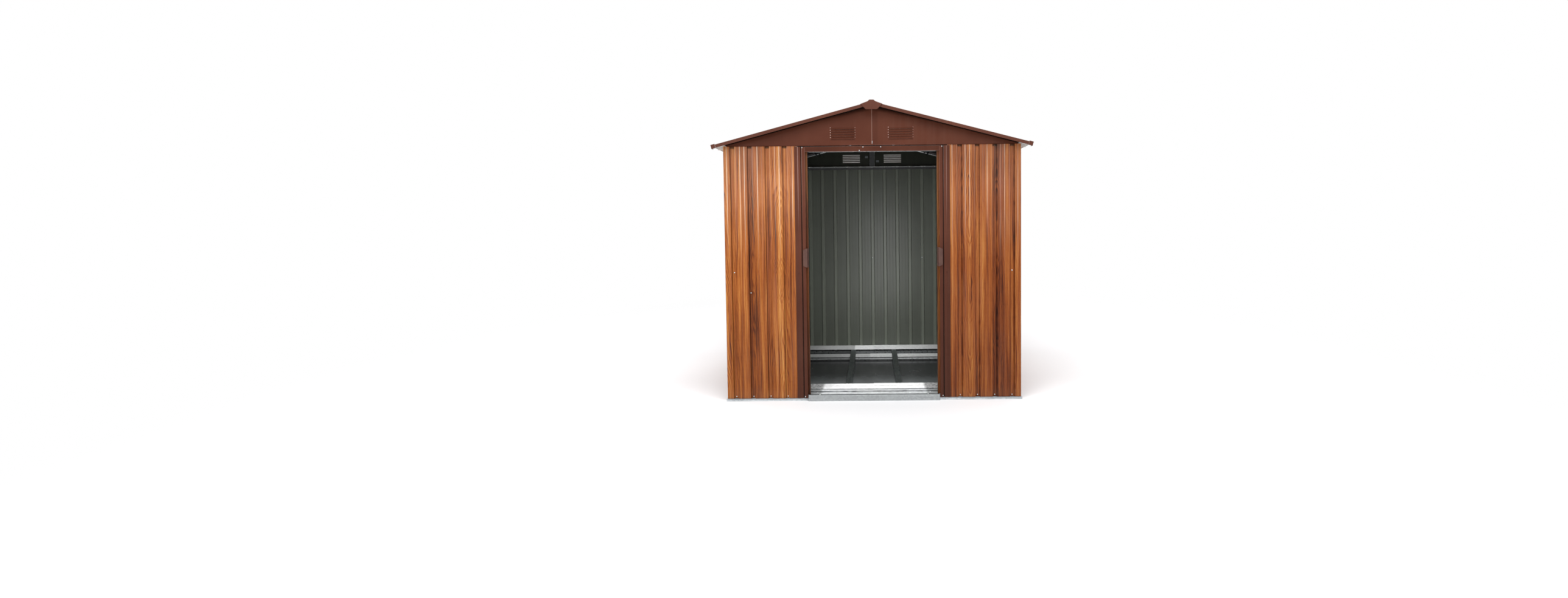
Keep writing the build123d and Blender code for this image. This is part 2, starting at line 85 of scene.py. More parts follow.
def set_camera():
    """The photograph's place, tilt and turn, with its crop as a small shift."""
    across = Vector((math.cos(CAMERA_TURN), -math.sin(CAMERA_TURN), 0.0))
    level = Vector((math.sin(CAMERA_TURN), math.cos(CAMERA_TURN), 0.0))
    up = Vector((0.0, 0.0, 1.0))
    ahead = level * math.cos(CAMERA_TILT) - up * math.sin(CAMERA_TILT)
    over = level * math.sin(CAMERA_TILT) + up * math.cos(CAMERA_TILT)
    right = across * math.cos(CAMERA_ROLL) - over * math.sin(CAMERA_ROLL)
    top = across * math.sin(CAMERA_ROLL) + over * math.cos(CAMERA_ROLL)
    data = bpy.data.cameras.new("camera")
    data.sensor_fit = "HORIZONTAL"
    data.sensor_width = SENSOR
    data.lens = FOCAL_PIXELS * SENSOR / PHOTO_WIDTH
    data.shift_x = -(CENTRE_PIXEL[0] - PHOTO_WIDTH / 2) / PHOTO_WIDTH
    data.shift_y = (CENTRE_PIXEL[1] - PHOTO_HEIGHT / 2) / PHOTO_WIDTH
    data.clip_start = 0.02
    camera = bpy.data.objects.new("camera", data)
    turn = Matrix((right, top, -ahead)).transposed().to_4x4()
    camera.matrix_world = Matrix.Translation(CAMERA_PLACE) @ turn
    bpy.context.scene.collection.objects.link(camera)
    bpy.context.scene.camera = camera


set_camera()


# Node wiring

def tint(code):
    """A colour written as in a paint chart, as linear numbers for a shader."""
    channels = [int(code[i:i + 2], 16) / 255 for i in (0, 2, 4)]
    return tuple(c / 12.92 if c <= 0.04045 else ((c + 0.055) / 1.055) ** 2.4 for c in channels) + (1.0,)


class Wiring:
    """Short calls that add nodes to one tree and join them up."""

    def __init__(self, tree):
        self.tree = tree

    def node(self, kind, **settings):
        made = self.tree.nodes.new(kind)
        for name, value in settings.items():
            setattr(made, name, value)
        return made

    def join(self, value, socket):
        if isinstance(value, bpy.types.NodeSocket):
            self.tree.links.new(value, socket)
        elif value is not None:
            socket.default_value = tint(value) if socket.type == "RGBA" and isinstance(value, str) else value

    def math(self, operation, a, b=None, c=None, clamp=False):
        made = self.node("ShaderNodeMath", operation=operation, use_clamp=clamp)
        for value, socket in zip((a, b, c), made.inputs):
            self.join(value, socket)
        return made.outputs[0]

    plus = partialmethod(math, "ADD")
    minus = partialmethod(math, "SUBTRACT")
    times = partialmethod(math, "MULTIPLY")
    over = partialmethod(math, "DIVIDE")
    fitted = partialmethod(math, "MULTIPLY_ADD")
    size = partialmethod(math, "ABSOLUTE")
    sign = partialmethod(math, "SIGN")
    more = partialmethod(math, "GREATER_THAN")
    less = partialmethod(math, "LESS_THAN")
    most = partialmethod(math, "MAXIMUM")

    def sway(self, value, amount, middle=0.0):
        """A noise of about 0.5 turned into one that sways about the middle."""
        return self.fitted(self.minus(value, 0.5), amount, middle)

    def vector_math(self, operation, a, b=None):
        made = self.node("ShaderNodeVectorMath", operation=operation)
        self.join(a, made.inputs[0])
        self.join(b, made.inputs[1])
        return made.outputs["Value" if operation == "LENGTH" else 0]

    def split(self, vector):
        made = self.node("ShaderNodeSeparateXYZ")
        self.join(vector, made.inputs[0])
        return made.outputs[:3]

    def combine(self, x=0.0, y=0.0, z=0.0):
        made = self.node("ShaderNodeCombineXYZ")
        for value, socket in zip((x, y, z), made.inputs):
            self.join(value, socket)
        return made.outputs[0]

    def fill(self, made, **values):
        """Joins values to a node's sockets by their names, and gives the node back."""
        for name, value in values.items():
            self.join(value, made.inputs[name.replace("_", " ").title().replace("Ior", "IOR")])
        return made

    def noise(self, vector, scale=1.0, detail=2.0, roughness=0.5, colour=False):
        made = self.fill(self.node("ShaderNodeTexNoise"), vector=vector, scale=scale, detail=detail,
                         roughness=roughness)
        return made.outputs["Color" if colour else "Fac"]

    def drawn_noise(self, vector, factors, detail, roughness=0.5):
        """Noise that is drawn out along the axis with the smallest factor."""
        return self.noise(self.vector_math("MULTIPLY", vector, factors), 1.0, detail, roughness)

    def span(self, value, low, high, to_low=0.0, to_high=1.0, smooth=True):
        kind = "SMOOTHSTEP" if smooth else "LINEAR"
        made = self.node("ShaderNodeMapRange", interpolation_type=kind)
        return self.fill(made, value=value, from_min=low, from_max=high, to_min=to_low,
                         to_max=to_high).outputs["Result"]

    def line(self, value, middle, half, amount=1.0):
        """A soft line: amount at the middle and 0 beyond half its width."""
        away = self.size(self.minus(value, middle))
        return self.span(away, half * 0.4, half, amount, 0.0)

    def blend(self, factor, a, b):
        """The same as mix, for plain numbers."""
        return self.fitted(factor, self.minus(b, a), a)

    def shade(self, colour, tone):
        """A colour made darker or lighter by a tone."""
        return self.mix(1.0, colour, self.grey(tone), blend="MULTIPLY")

    def grey(self, tone):
        """One value as an even grey."""
        made = self.node("ShaderNodeCombineColor")
        for socket in made.inputs[:3]:
            self.join(tone, socket)
        return made.outputs[0]

    def mix(self, factor, a, b, blend="MIX"):
        made = self.node("ShaderNodeMix", data_type="RGBA", blend_type=blend)
        self.join(factor, made.inputs["Factor"])
        self.join(a, made.inputs[6])
        self.join(b, made.inputs[7])
        return made.outputs[2]

    def ramp(self, factor, stops):
        made = self.node("ShaderNodeValToRGB")
        elements = made.color_ramp.elements
        while len(elements) < len(stops):
            elements.new(0.5)
        for element, (place, colour) in zip(elements, stops):
            element.position = place
            element.color = tint(colour) if isinstance(colour, str) else (colour, colour, colour, 1.0)
        self.join(factor, made.inputs[0])
        return made.outputs[0]

    def bump(self, height, distance, strength, normal=None):
        made = self.node("ShaderNodeBump")
        return self.fill(made, strength=strength, distance=distance, height=height,
                         normal=normal).outputs["Normal"]

    def use(self, group, **values):
        """Joins values to an effect's inputs by their names, and gives its outputs."""
        made = self.node("ShaderNodeGroup", node_tree=group)
        for name, value in values.items():
            self.join(value, made.inputs[name.replace("_", " ").capitalize()])
        return made.outputs


def effect(name, vectors, values, outputs):
    """An empty node group with named vectors and values in and values out, and the wiring to fill it."""
    tree = bpy.data.node_groups.new(name, "ShaderNodeTree")
    for label in vectors.split(", "):
        tree.interface.new_socket(label, in_out="INPUT", socket_type="NodeSocketVector")
    for label, default in values.items():
        socket = tree.interface.new_socket(label, in_out="INPUT", socket_type="NodeSocketFloat")
        socket.default_value = default
    for label in outputs.split(", "):
        kind = "NodeSocketColor" if label == "Colour" else "NodeSocketFloat"
        tree.interface.new_socket(label, in_out="OUTPUT", socket_type=kind)
    wiring = Wiring(tree)
    return tree, wiring, wiring.node("NodeGroupInput").outputs, wiring.node("NodeGroupOutput").inputs


def finish_of(name):
    """A new material, its wiring, its surface shader and the piece's own coordinates."""
    material = bpy.data.materials.new(name)
    material.use_nodes = True
    wiring = Wiring(material.node_tree)
    shader = material.node_tree.nodes["Principled BSDF"]
    place = wiring.node("ShaderNodeTexCoord")
    return material, wiring, shader, place.outputs["Object"], place.outputs["Normal"]


# Effects that several finishes share

def make_outside_effect():
    """1 on the outer side of a wall, gable, trim or roof sheet and 0 on its back."""
    tree, w, given, out = effect("outer_side", "Position, Facing", {}, "Outside")
    x, y, z = w.split(given["Position"])
    nx, ny, nz = w.split(given["Facing"])
    side = w.times(w.sign(x), w.more(w.size(x), SIDES_FROM))
    end = w.times(w.sign(y), w.more(w.size(y), ENDS_FROM))
    top = w.more(z, TOP_FROM)
    total = w.fitted(side, nx, w.fitted(end, ny, w.times(top, nz)))
    w.join(w.span(total, -0.12, 0.12), out["Outside"])
    return tree


COLUMN_PITCH = 0.175
KNOT_HALF_WIDTH = 0.031
KNOT_HALF_HEIGHT = 0.145
KNOT_REACH = 0.086


def make_wood_effect():
    """Printed wood: columns of arches and ovals, with soft uneven bands between them."""
    tree, w, given, out = effect(
        "wood_print", "Position, Knot at", {"Shift across": 0.0, "Shift up": 0.0, "Turn at": 0.0},
        "Colour, Grain")
    x, y, z = w.split(given["Position"])
    flat = w.plus(x, y)
    up = w.plus(z, given["Shift up"])
    sway = w.noise(w.combine(0.0, w.times(up, 2.2), given["Shift up"]), detail=1.0)
    across = w.plus(flat, given["Shift across"])
    across = w.sway(sway, 0.020, across)

    column = w.math("ROUND", w.over(across, COLUMN_PITCH))
    off_centre = w.size(w.minus(across, w.times(column, COLUMN_PITCH)))
    odd = w.size(w.math("MODULO", column, 2.0))

    def grain(across_by, up_by, seed=0.0, **settings):
        stretched = w.combine(w.times(across, across_by), w.times(up, up_by), seed)
        return w.noise(stretched, **settings)

    knot_x, knot_y, knot_z = w.split(given["Knot at"])
    beside = w.size(w.minus(flat, w.plus(knot_x, knot_y)))
    has_knot = w.less(beside, KNOT_REACH)
    level = w.over(w.minus(z, knot_z), KNOT_HALF_HEIGHT)
    level = w.times(level, level)
    wide = w.most(w.minus(1.0, level), 0.0)
    bulge = w.times(w.times(wide, KNOT_HALF_WIDTH), has_knot)
    pushed = w.times(bulge, w.span(off_centre, KNOT_HALF_WIDTH, 0.085, 1.0, 0.0))
    aside = w.most(w.minus(off_centre, pushed), 0.0)
    oval = w.over(off_centre, KNOT_HALF_WIDTH)
    oval = w.math("SQRT", w.plus(oval, level))
    inside = w.times(w.less(oval, 1.0), has_knot)

    near = w.span(aside, 0.012, 0.060, 1.0, 0.0)
    depth = w.noise(w.combine(w.times(up, 2.6), w.times(column, 7.31)), detail=1.5)
    quick = w.noise(w.combine(w.times(up, 9.0), w.times(column, 3.7)), detail=1.0)
    swell = w.fitted(w.minus(quick, 0.5), 1.5,
                   w.times(w.minus(depth, 0.5), 7.5))
    swell = w.times(swell, near)
    ring = w.fitted(odd, -0.0052, 0.0155)
    flank = w.math("POWER", w.over(aside, ring), 1.12)
    fine = grain(90.0, 3.6, detail=2.0)
    slow = grain(14.0, 2.5, 4.0, detail=2.0)
    arches = w.times(w.size(w.minus(z, given["Turn at"])), 6.5)
    rings = w.plus(arches, w.plus(flank, swell))
    rings = w.fitted(slow, 2.8, rings)
    rings = w.blend(inside, rings, w.fitted(slow, 0.9, w.times(oval, 4.3)))
    rings = w.fitted(fine, 0.75, rings)
    phase = w.math("FRACT", rings)
    late = w.ramp(phase, [(0.0, 0.16), (0.10, 0.0), (0.40, 0.12), (0.76, 0.62), (0.88, 1.0), (1.0, 0.16)])

    bands = grain(84.0, 1.3, 8.0, detail=3.0, roughness=0.62)
    broad = grain(21.0, 0.8, 12.0, detail=1.0)
    patch = grain(26.0, 2.2, 19.0, detail=1.0)
    fibre = grain(520.0, 16.0, detail=3.0, roughness=0.65)
    pores = w.span(grain(900.0, 38.0, 3.0, detail=1.0), 0.60, 0.74)

    heart = w.times(w.span(off_centre, 0.004, 0.042, 1.0, 0.0), w.fitted(odd, -0.38, 0.16))
    streak = grain(165.0, 1.5, 33.0, detail=1.5)
    tone = w.sway(bands, 1.30, 0.61)
    tone = w.sway(broad, 0.60, tone)
    tone = w.fitted(w.span(streak, 0.56, 0.72), -0.30, tone)
    tone = w.plus(tone, heart)
    weight = w.times(w.span(aside, 0.008, 0.060, -0.52, -0.22), w.span(patch, 0.34, 0.64, 0.25, 1.0))
    weight = w.blend(inside, weight, -0.40)
    tone = w.fitted(late, weight, tone)
    tone = w.sway(fibre, 0.34, tone)
    tone = w.fitted(pores, -0.14, tone, clamp=True)
    colour = w.ramp(tone, [
        (0.0, "381A0C"), (0.22, "5F2C12"), (0.42, "86451A"), (0.58, "9F5926"), (0.76, "B67336"),
        (1.0, "CC9150")])
    rosy = grain(64.0, 0.9, 27.0, detail=2.0)
    rosy = w.times(w.span(rosy, 0.52, 0.70), w.span(z, 0.3, 1.4, 0.15, 0.45))
    w.join(w.mix(rosy, colour, "A8664C"), out["Colour"])
    w.join(w.fitted(late, -0.4, fibre), out["Grain"])
    return tree


def make_spangle_effect():
    """Zinc crystals, drawn streaks along the fold, and dull smudges."""
    tree, w, given, out = effect(
        "zinc_spangle", "Position, Streaks", {"Crystal size": 0.012, "Smudges": 0.5}, "Tone, Gloss, Height")
    position = given["Position"]
    warp = w.noise(position, 60.0, 2.0, colour=True)
    spread = w.vector_math("ADD", position, w.vector_math("MULTIPLY", warp, (0.006, 0.006, 0.006)))
    cells = w.node("ShaderNodeTexVoronoi", feature="F1")
    w.join(spread, cells.inputs["Vector"])
    w.join(w.over(1.0, given["Crystal size"]), cells.inputs["Scale"])
    crystal, facet, spare = w.split(cells.outputs["Color"])
    drawn = w.drawn_noise(position, given["Streaks"], 3.0, 0.6)
    cloud = w.noise(position, 6.0, 3.0, 0.6)
    smudge = w.times(w.span(cloud, 0.50, 0.72), given["Smudges"])
    tone = w.sway(crystal, 0.16, 0.80)
    tone = w.sway(drawn, 0.28, tone)
    tone = w.fitted(smudge, -0.30, tone, clamp=True)
    gloss = w.fitted(facet, 0.14, 0.24)
    gloss = w.fitted(smudge, 0.25, gloss)
    w.join(tone, out["Tone"])
    w.join(gloss, out["Gloss"])
    w.join(w.fitted(drawn, 0.5, facet), out["Height"])
    return tree


WEAR_AMOUNT = 0.5


def make_wear_effect():
    """Dust, faint rain streaks and light scuffs on painted sheet."""
    tree, w, given, out = effect("sheet_wear", "Position", {}, "Dust, Scuffs, Ripple")
    x, y, z = w.split(given["Position"])
    cloud = w.noise(given["Position"], 3.0, 4.0, 0.6)
    run = w.drawn_noise(given["Position"], (55.0, 55.0, 1.6), 3.0, 0.6)
    dust = w.times(w.span(cloud, 0.40, 0.75), w.span(run, 0.35, 0.75))
    low = w.span(z, 0.0, 0.10, 0.55, 0.0)
    dust = w.times(w.plus(dust, low), WEAR_AMOUNT, clamp=True)
    scuff = w.span(w.drawn_noise(given["Position"], (240.0, 240.0, 14.0), 2.0), 0.70, 0.80)
    w.join(dust, out["Dust"])
    w.join(w.times(scuff, WEAR_AMOUNT), out["Scuffs"])
    w.join(w.noise(given["Position"], 7.0, 2.0), out["Ripple"])
    return tree


SPARED_BEADS_AT = 0.6745
SHOULDER_AT = RIB_PITCH - 0.0165


def make_painted_light_effect():
    """Painted highlights on the beads and shoulders, stronger towards the top; a painted sheen that lightens
    the print upwards; and painted shade in the bends, in the recesses' tops under the gable's edge and towards
    the bottom.
    """
    tree, w, given, out = effect(
        "bead_bleach", "Position, Facing", {"Across": 0.0, "Rib at": 0.0, "Lean": 0.0},
        "Bead, Shoulder, Bleach, Tone")
    x, y, z = w.split(given["Position"])
    nx, ny, nz = w.split(given["Facing"])
    from_rib = w.minus(w.size(given["Across"]), given["Rib at"])
    in_pitch = w.math("FLOORED_MODULO", from_rib, RIB_PITCH)
    middle = w.minus(RIB_PITCH / 2, given["Lean"])
    from_middle = w.size(w.minus(in_pitch, middle))
    # Painted highlight: a pale line along each bead's crest.
    line = w.line(from_middle, BEAD_PLACE, 0.0032, 0.70)
    spared = w.times(w.line(w.size(given["Across"]), SPARED_BEADS_AT, 0.0140, 0.85),
                    w.more(given["Lean"], 0.0))
    line = w.times(line, w.minus(1.0, spared))
    broken = w.noise(w.combine(w.times(given["Across"], 21.0), w.times(z, 1.7), 3.0), detail=1.0)
    # The painted highlights fade downwards and are weaker on the right half.
    fading = w.span(z, 0.80, 1.42, 0.03, 1.0)
    fading = w.times(fading, w.span(w.sign(x), -1.0, 1.0, 1.0, 0.66, smooth=False))
    w.join(w.times(line, w.times(fading, w.span(broken, 0.30, 0.52, 0.25, 1.0))), out["Bead"])
    # Painted highlight on the shoulder beside each rib, fading the same way.
    w.join(w.times(w.line(in_pitch, SHOULDER_AT, 0.0026, 0.42), fading), out["Shoulder"])
    # Painted sheen: the print is lightened more towards the top.
    cloud = w.noise(given["Position"], 4.0, 2.0)
    top_sheen = w.times(w.span(z, 0.75, 1.58, 0.0, 0.26), w.span(cloud, 0.3, 0.7, 0.7, 1.2))
    w.join(top_sheen, out["Bleach"])
    # Painted shade: darker on the slopes that face the middle of the wall, in the recesses' tops just under the
    # gable's edge, and towards the bottom.
    inward = w.times(w.sign(x), nx)
    bends = w.span(inward, -0.75, -0.35, 0.52, 1.0)
    recess = w.times(w.more(y, -0.5395), w.less(y, -0.520))
    under = w.fitted(w.times(w.span(z, 1.556, 1.566), recess), -0.68, 1.0)
    w.join(w.times(w.times(w.span(z, 0.0, 1.0, 0.84, 1.0), bends), under), out["Tone"])
    return tree


bead_bleach = make_painted_light_effect()
outer_side = make_outside_effect()
wood_print = make_wood_effect()
zinc_spangle = make_spangle_effect()
sheet_wear = make_wear_effect()


# Finishes

BACK_COAT = "5E6259"
PALE_COAT = "C9CBC8"
HOOD_ROOT = 0.5443

# Places of the marks, painted highlights and painted shade on the doorway's pieces
DOOR_HEM_AT = 0.3885
DOOR_IN_SHADE_FROM = 0.410
JAMB_GROOVE_AT = 0.434
JAMB_FOLD_AT = 0.4534
JAMB_LIP_AT = 0.4106
LEFT_EDGE_HIGHLIGHT_AT = -0.4303
RIGHT_EDGE_HIGHLIGHT_AT = 0.4378
HEADER_TOP_EDGE = 1.5672
HEADER_LOW_EDGE = 1.5364
TRACK_SHADE_FROM = 1.561
TREAD_SMEAR_AT = -0.397
TREAD_FLANGE_AT = -0.4342
GUIDE_STEP_AT = -0.473


def back_coat(w, position, colour=BACK_COAT):
    """Colour of the plain coat on the inner side of a sheet."""
    cloud = w.noise(position, 2.2, 3.0, 0.6)
    run = w.drawn_noise(position, (40.0, 40.0, 1.2), 3.0, 0.6)
    tone = w.fitted(cloud, 0.35, w.fitted(run, 0.25, 0.72))
    return w.shade(colour, tone)


OUTER_GLOSS = 0.12


def wood_sheet(name, shift_across, shift_up, rib_at=0.0, along=0, right_shade=(1.0, 1.0, 1.0),
               knot=(0.0, 9.0, 9.0), turn_at=-5.0, lean=0.0, marks=None, ridge_light=0.0,
               inner_gloss=OUTER_GLOSS, inner_tone=1.0, gloss_blur=0.14):
    """Wood-look print outside, with a painted sheen towards the top, painted highlights on the beads and
    shoulders and painted shade in the bends and low down; the dark coat inside.
    """
    material, w, shader, position, facing = finish_of(name)
    print_ = w.use(wood_print, position=position, shift_across=shift_across, shift_up=shift_up, knot_at=knot,
                   turn_at=turn_at)
    wear = w.use(sheet_wear, position=position)
    outside = w.use(outer_side, position=position, facing=facing)[0]
    sheen_and_shade = w.use(bead_bleach, position=position, facing=facing,
                across=w.split(position)[along], rib_at=rib_at, lean=lean)
    # Painted sheen from the sheet effect lightens the print towards the top.
    wood = w.mix(sheen_and_shade["Bleach"], print_["Colour"], (0.285, 0.205, 0.155, 1.0), blend="ADD")
    # Painted shade: the right half is multiplied by the given darker tone.
    right = w.more(w.split(position)[0], 0.0)
    wood = w.mix(right, wood, w.mix(1.0, wood, right_shade + (1.0,), blend="MULTIPLY"))
    # Painted shade from the sheet effect.
    wood = w.shade(wood, sheen_and_shade["Tone"])
    wood = w.mix(w.times(wear["Dust"], 0.12), wood, "B9A48C")
    # Painted highlights on the shoulders and beads.
    wood = w.mix(sheen_and_shade["Shoulder"], wood, "D9A78C")
    wood = w.mix(sheen_and_shade["Bead"], wood, "EFD4BC")
    if marks:
        wood = marks(w, position, wood)
    # Painted light: the inner ridges are lightened by the given amount.
    ridge = w.span(w.split(position)[1], 0.5345, 0.5385, inner_tone + ridge_light, inner_tone)
    satin = w.fitted(print_["Grain"], 0.10, 0.27)
    satin = w.fitted(wear["Dust"], 0.18, satin)
    wavy = w.bump(wear["Ripple"], 0.0035, 0.5)
    w.fill(
        shader, base_color=w.mix(outside, w.shade(back_coat(w, position), ridge), wood),
        roughness=w.mix(outside, (0.36, 0.36, 0.36, 1.0), w.grey(satin)),
        normal=w.bump(print_["Grain"], 0.00012, 0.6, wavy), specular_ior_level=0.10,
        coat_weight=w.fitted(outside, OUTER_GLOSS - inner_gloss, inner_gloss), coat_roughness=gloss_blur)
    return material


def door_marks(w, position, wood):
    """Painted shade on the edge of each door that stays within the jamb's shade, with a paler hem."""
    out_x = w.size(w.split(position)[0])
    shaded = w.span(out_x, DOOR_IN_SHADE_FROM, 0.413, 0.46, 1.0)
    return w.shade(wood, w.fitted(w.line(out_x, DOOR_HEM_AT, 0.0022), 0.35, shaded))


def jamb_marks(w, position, coat):
    """Painted shade that darkens the coat downwards, more on the right jamb, with the inner part of the face a
    little lighter; painted highlights on the fold and edges near the top; and painted shade in the groove.
    """
    x, y, z = w.split(position)
    out_x = w.size(x)
    left = w.less(x, 0.0)
    tone = w.times(w.span(z, 0.1, 1.5, 0.58, 0.90), w.fitted(left, 0.10, 0.90))
    inner_part = w.fitted(w.span(out_x, 0.4525, 0.4535, 1.0, 0.0), 0.10, 1.0)
    coat = w.shade(coat, w.times(tone, inner_part))
    # Painted shade in the groove.
    groove = w.times(w.line(out_x, JAMB_GROOVE_AT, 0.0040), w.span(y, -0.5425, -0.5405))
    coat = w.shade(coat, w.fitted(groove, -0.62, 1.0))
    # Painted highlights on the fold and beside the groove, near the top only.
    top = w.times(w.span(z, 1.0, 1.46), w.fitted(left, 0.35, 0.65))
    edge_highlight = w.most(w.line(out_x, JAMB_FOLD_AT, 0.0034, 0.50), w.line(x, LEFT_EDGE_HIGHLIGHT_AT, 0.0018, 0.75))
    edge_highlight = w.most(edge_highlight, w.line(x, RIGHT_EDGE_HIGHLIGHT_AT, 0.0016, 0.60))
    edge_highlight = w.most(edge_highlight, w.line(out_x, JAMB_LIP_AT, 0.0016, 0.30))
    return w.mix(w.times(edge_highlight, top), coat, "B08E84")


def gable_marks(w, position, coat):
    """Painted shadow: a soft dark band under the roof's edge, deeper towards the ridge; and a slightly darker
    strip beside the joint.
    """
    x, y, z = w.split(position)
    out_x = w.size(x)
    below = w.minus(w.fitted(out_x, -math.tan(ROOF_PITCH), RIDGE_LINE - 0.0070), z)
    reach = w.span(out_x, 0.02, 0.42, 0.036, 0.012)
    band = w.fitted(w.span(w.over(below, reach), 0.0, 1.0, 1.0, 0.0), -0.80, 1.0)
    beside = w.fitted(w.times(w.span(x, 0.004, 0.010), w.span(x, 0.030, 0.044, 1.0, 0.0)),
                    -0.12, 1.0)
    return w.shade(coat, w.times(band, beside))


def header_marks(w, position, coat):
    """Painted highlights along the header's two long edges, a little paler."""
    x, y, z = w.split(position)
    edge_highlight = w.most(w.line(z, HEADER_TOP_EDGE, 0.0018, 0.38), w.line(z, HEADER_LOW_EDGE, 0.0022, 0.30))
    return w.mix(edge_highlight, coat, "A5857A")


def brown_paint(name, back=BACK_COAT, colour="582A1D", base_roughness=0.40, hoods_painted_lit=False, shade_painted_within=False,
                marks=None):
    """Satin brown coat with a faint orange peel, dust and scuffs; the back is plain, with painted shade within
    the shed and painted light inside the louvre hoods where asked.
    """
    material, w, shader, position, facing = finish_of(name)
    wear = w.use(sheet_wear, position=position)
    outside = w.use(outer_side, position=position, facing=facing)[0]
    cloud = w.noise(position, 4.0, 3.0, 0.55)
    coat = w.mix(w.span(cloud, 0.3, 0.7), colour, w.mix(0.16, colour, "82503E"))
    coat = w.mix(w.times(wear["Dust"], 0.07), coat, "A79284")
    coat = w.mix(w.times(wear["Scuffs"], 0.12), coat, "93705F")
    if marks:
        coat = marks(w, position, coat)
    inner = back_coat(w, position, back)
    # Painted shade: within the shed the back is near black.
    if shade_painted_within:
        within = w.less(w.size(w.split(position)[0]), 0.905)
        inner = w.mix(within, inner, "1D1917")
    # Painted light inside the louvre hoods: pale in the rear ones, a lighter brown in the front ones.
    if hoods_painted_lit:
        depth = w.split(position)[1]
        inner = w.mix(w.more(depth, HOOD_ROOT), inner, PALE_COAT)
        inner = w.mix(w.less(depth, -HOOD_ROOT), inner, "B98572")
    satin = w.fitted(cloud, 0.12, base_roughness - 0.06)
    wavy = w.bump(wear["Ripple"], 0.003, 0.5)
    w.fill(
        shader, base_color=w.mix(outside, inner, coat), roughness=w.fitted(wear["Dust"], 0.2, satin),
        normal=w.bump(w.noise(position, 420.0, 2.0), 0.00008, 0.5, wavy), specular_ior_level=0.08,
        coat_weight=0.05, coat_roughness=0.20)
    return material


def zinc(name, streaks, crystal=0.012, smudges=0.35, metallic=1.0, colour="E6E9EA", rougher=0.0,
         top_dust_and_light=0.0, top_colour="F6F7F7", bend_shade=None, tones=None, marks=None):
    """Galvanised steel, with its streaks drawn along the rail; what faces up is paler, partly dust and partly
    painted light from above; and a given band below a fold gets painted shade.
    """
    material, w, shader, position, facing = finish_of(name)
    spangle = w.use(zinc_spangle, position=position, crystal_size=crystal, streaks=streaks,
                    smudges=smudges)
    tone = spangle["Tone"]
    x, y, z = w.split(position)
    up = w.split(facing)[2]
    # Painted shade in a band of heights below a fold, on faces that do not face up.
    if bend_shade:
        crease_shade = w.times(w.span(z, bend_shade[0], bend_shade[0] + 0.002), w.span(z, bend_shade[1], bend_shade[1] + 0.001, 1.0, 0.0))
        crease_shade = w.times(crease_shade, w.span(up, 0.5, 0.8, 1.0, 0.0))
        tone = w.times(tone, w.fitted(crease_shade, -0.92, 1.0))
    if tones:
        level = tones[0][1]
        for place_x, value in tones[1:]:
            level = w.plus(level, w.span(x, place_x - 0.001, place_x + 0.001, 0.0, value))
        tone = w.times(tone, level)
    if marks:
        tone = w.times(tone, marks(w, position))
    body = colour
    gloss = w.plus(spangle["Gloss"], rougher)
    # What faces up is paler, less metallic and rougher: partly dust, partly painted light from above.
    if top_dust_and_light:
        dusty = w.times(w.span(up, 0.3, 0.8), top_dust_and_light)
        body = w.mix(dusty, body, top_colour)
        gloss = w.fitted(dusty, 0.35, gloss)
        metallic = w.fitted(dusty, -metallic, metallic)
    w.fill(shader, base_color=w.shade(body, tone), roughness=gloss, metallic=metallic,
           normal=w.bump(spangle["Height"], 0.00006, 0.5))
    return material


def track_marks(w, position):
    """Painted shade on the track's front flange above the header."""
    x, y, z = w.split(position)
    return w.fitted(w.times(w.less(y, -0.495), w.span(z, TRACK_SHADE_FROM, 1.564)), -0.90, 1.0)


def tread_marks(w, position):
    """A scalloped smear along the tread, dull ends, and painted shade on its front face down in the gap."""
    x, y, z = w.split(position)
    wander = w.noise(w.combine(w.times(x, 26.0), 0.0, 6.0), detail=2.0)
    smear = w.line(w.fitted(wander, -0.012, y), TREAD_SMEAR_AT, 0.0032, 1.0)
    broken = w.span(w.noise(w.combine(w.times(x, 9.0), 0.0, 2.0), detail=1.0), 0.35, 0.6, 0.15, 0.60)
    tone = w.fitted(w.times(smear, broken), -1.0, 1.0)
    mottle = w.drawn_noise(position, (70.0, 160.0, 70.0), 3.0)
    ends = w.span(w.size(x), 0.318, 0.340)
    dull = w.times(ends, w.span(mottle, 0.35, 0.65, 0.45, 0.80))
    # Painted shade on the tread's front face down in the gap.
    hidden = w.times(w.less(y, TREAD_FLANGE_AT), w.span(z, 0.0284, 0.0294, 1.0, 0.0))
    tone = w.times(tone, w.fitted(hidden, -0.93, 1.0))
    return w.times(tone, w.minus(1.0, dull))


def guide_marks(w, position):
    """Painted shade on the step between the guide's two levels, and its dull ends."""
    x, y, z = w.split(position)
    step = w.times(w.line(y, GUIDE_STEP_AT, 0.0026), w.times(w.span(z, 0.0235, 0.0243),
                  w.span(z, 0.0290, 0.0297, 1.0, 0.0)))
    ends = w.span(w.size(x), 0.325, 0.345, 1.0, 0.50)
    mottle = w.span(w.drawn_noise(position, (14.0, 160.0, 70.0), 2.0), 0.3, 0.6, 0.72, 1.08)
    return w.times(w.fitted(step, -0.88, mottle), ends)


def sill_marks(w, position):
    """Painted shade on the rear part of the sill's top."""
    x, y, z = w.split(position)
    slot_shade = w.times(w.span(y, -0.5450, -0.5430), w.more(z, 0.0300))
    return w.fitted(slot_shade, -0.94, 1.0)


def step_light_and_shade(axis, low, high, dull, bright=1.0):
    """Darker below a place on one axis and brighter above it, as painted shade and painted light."""
    return lambda w, position: w.span(w.split(position)[axis], low, high, dull, bright)


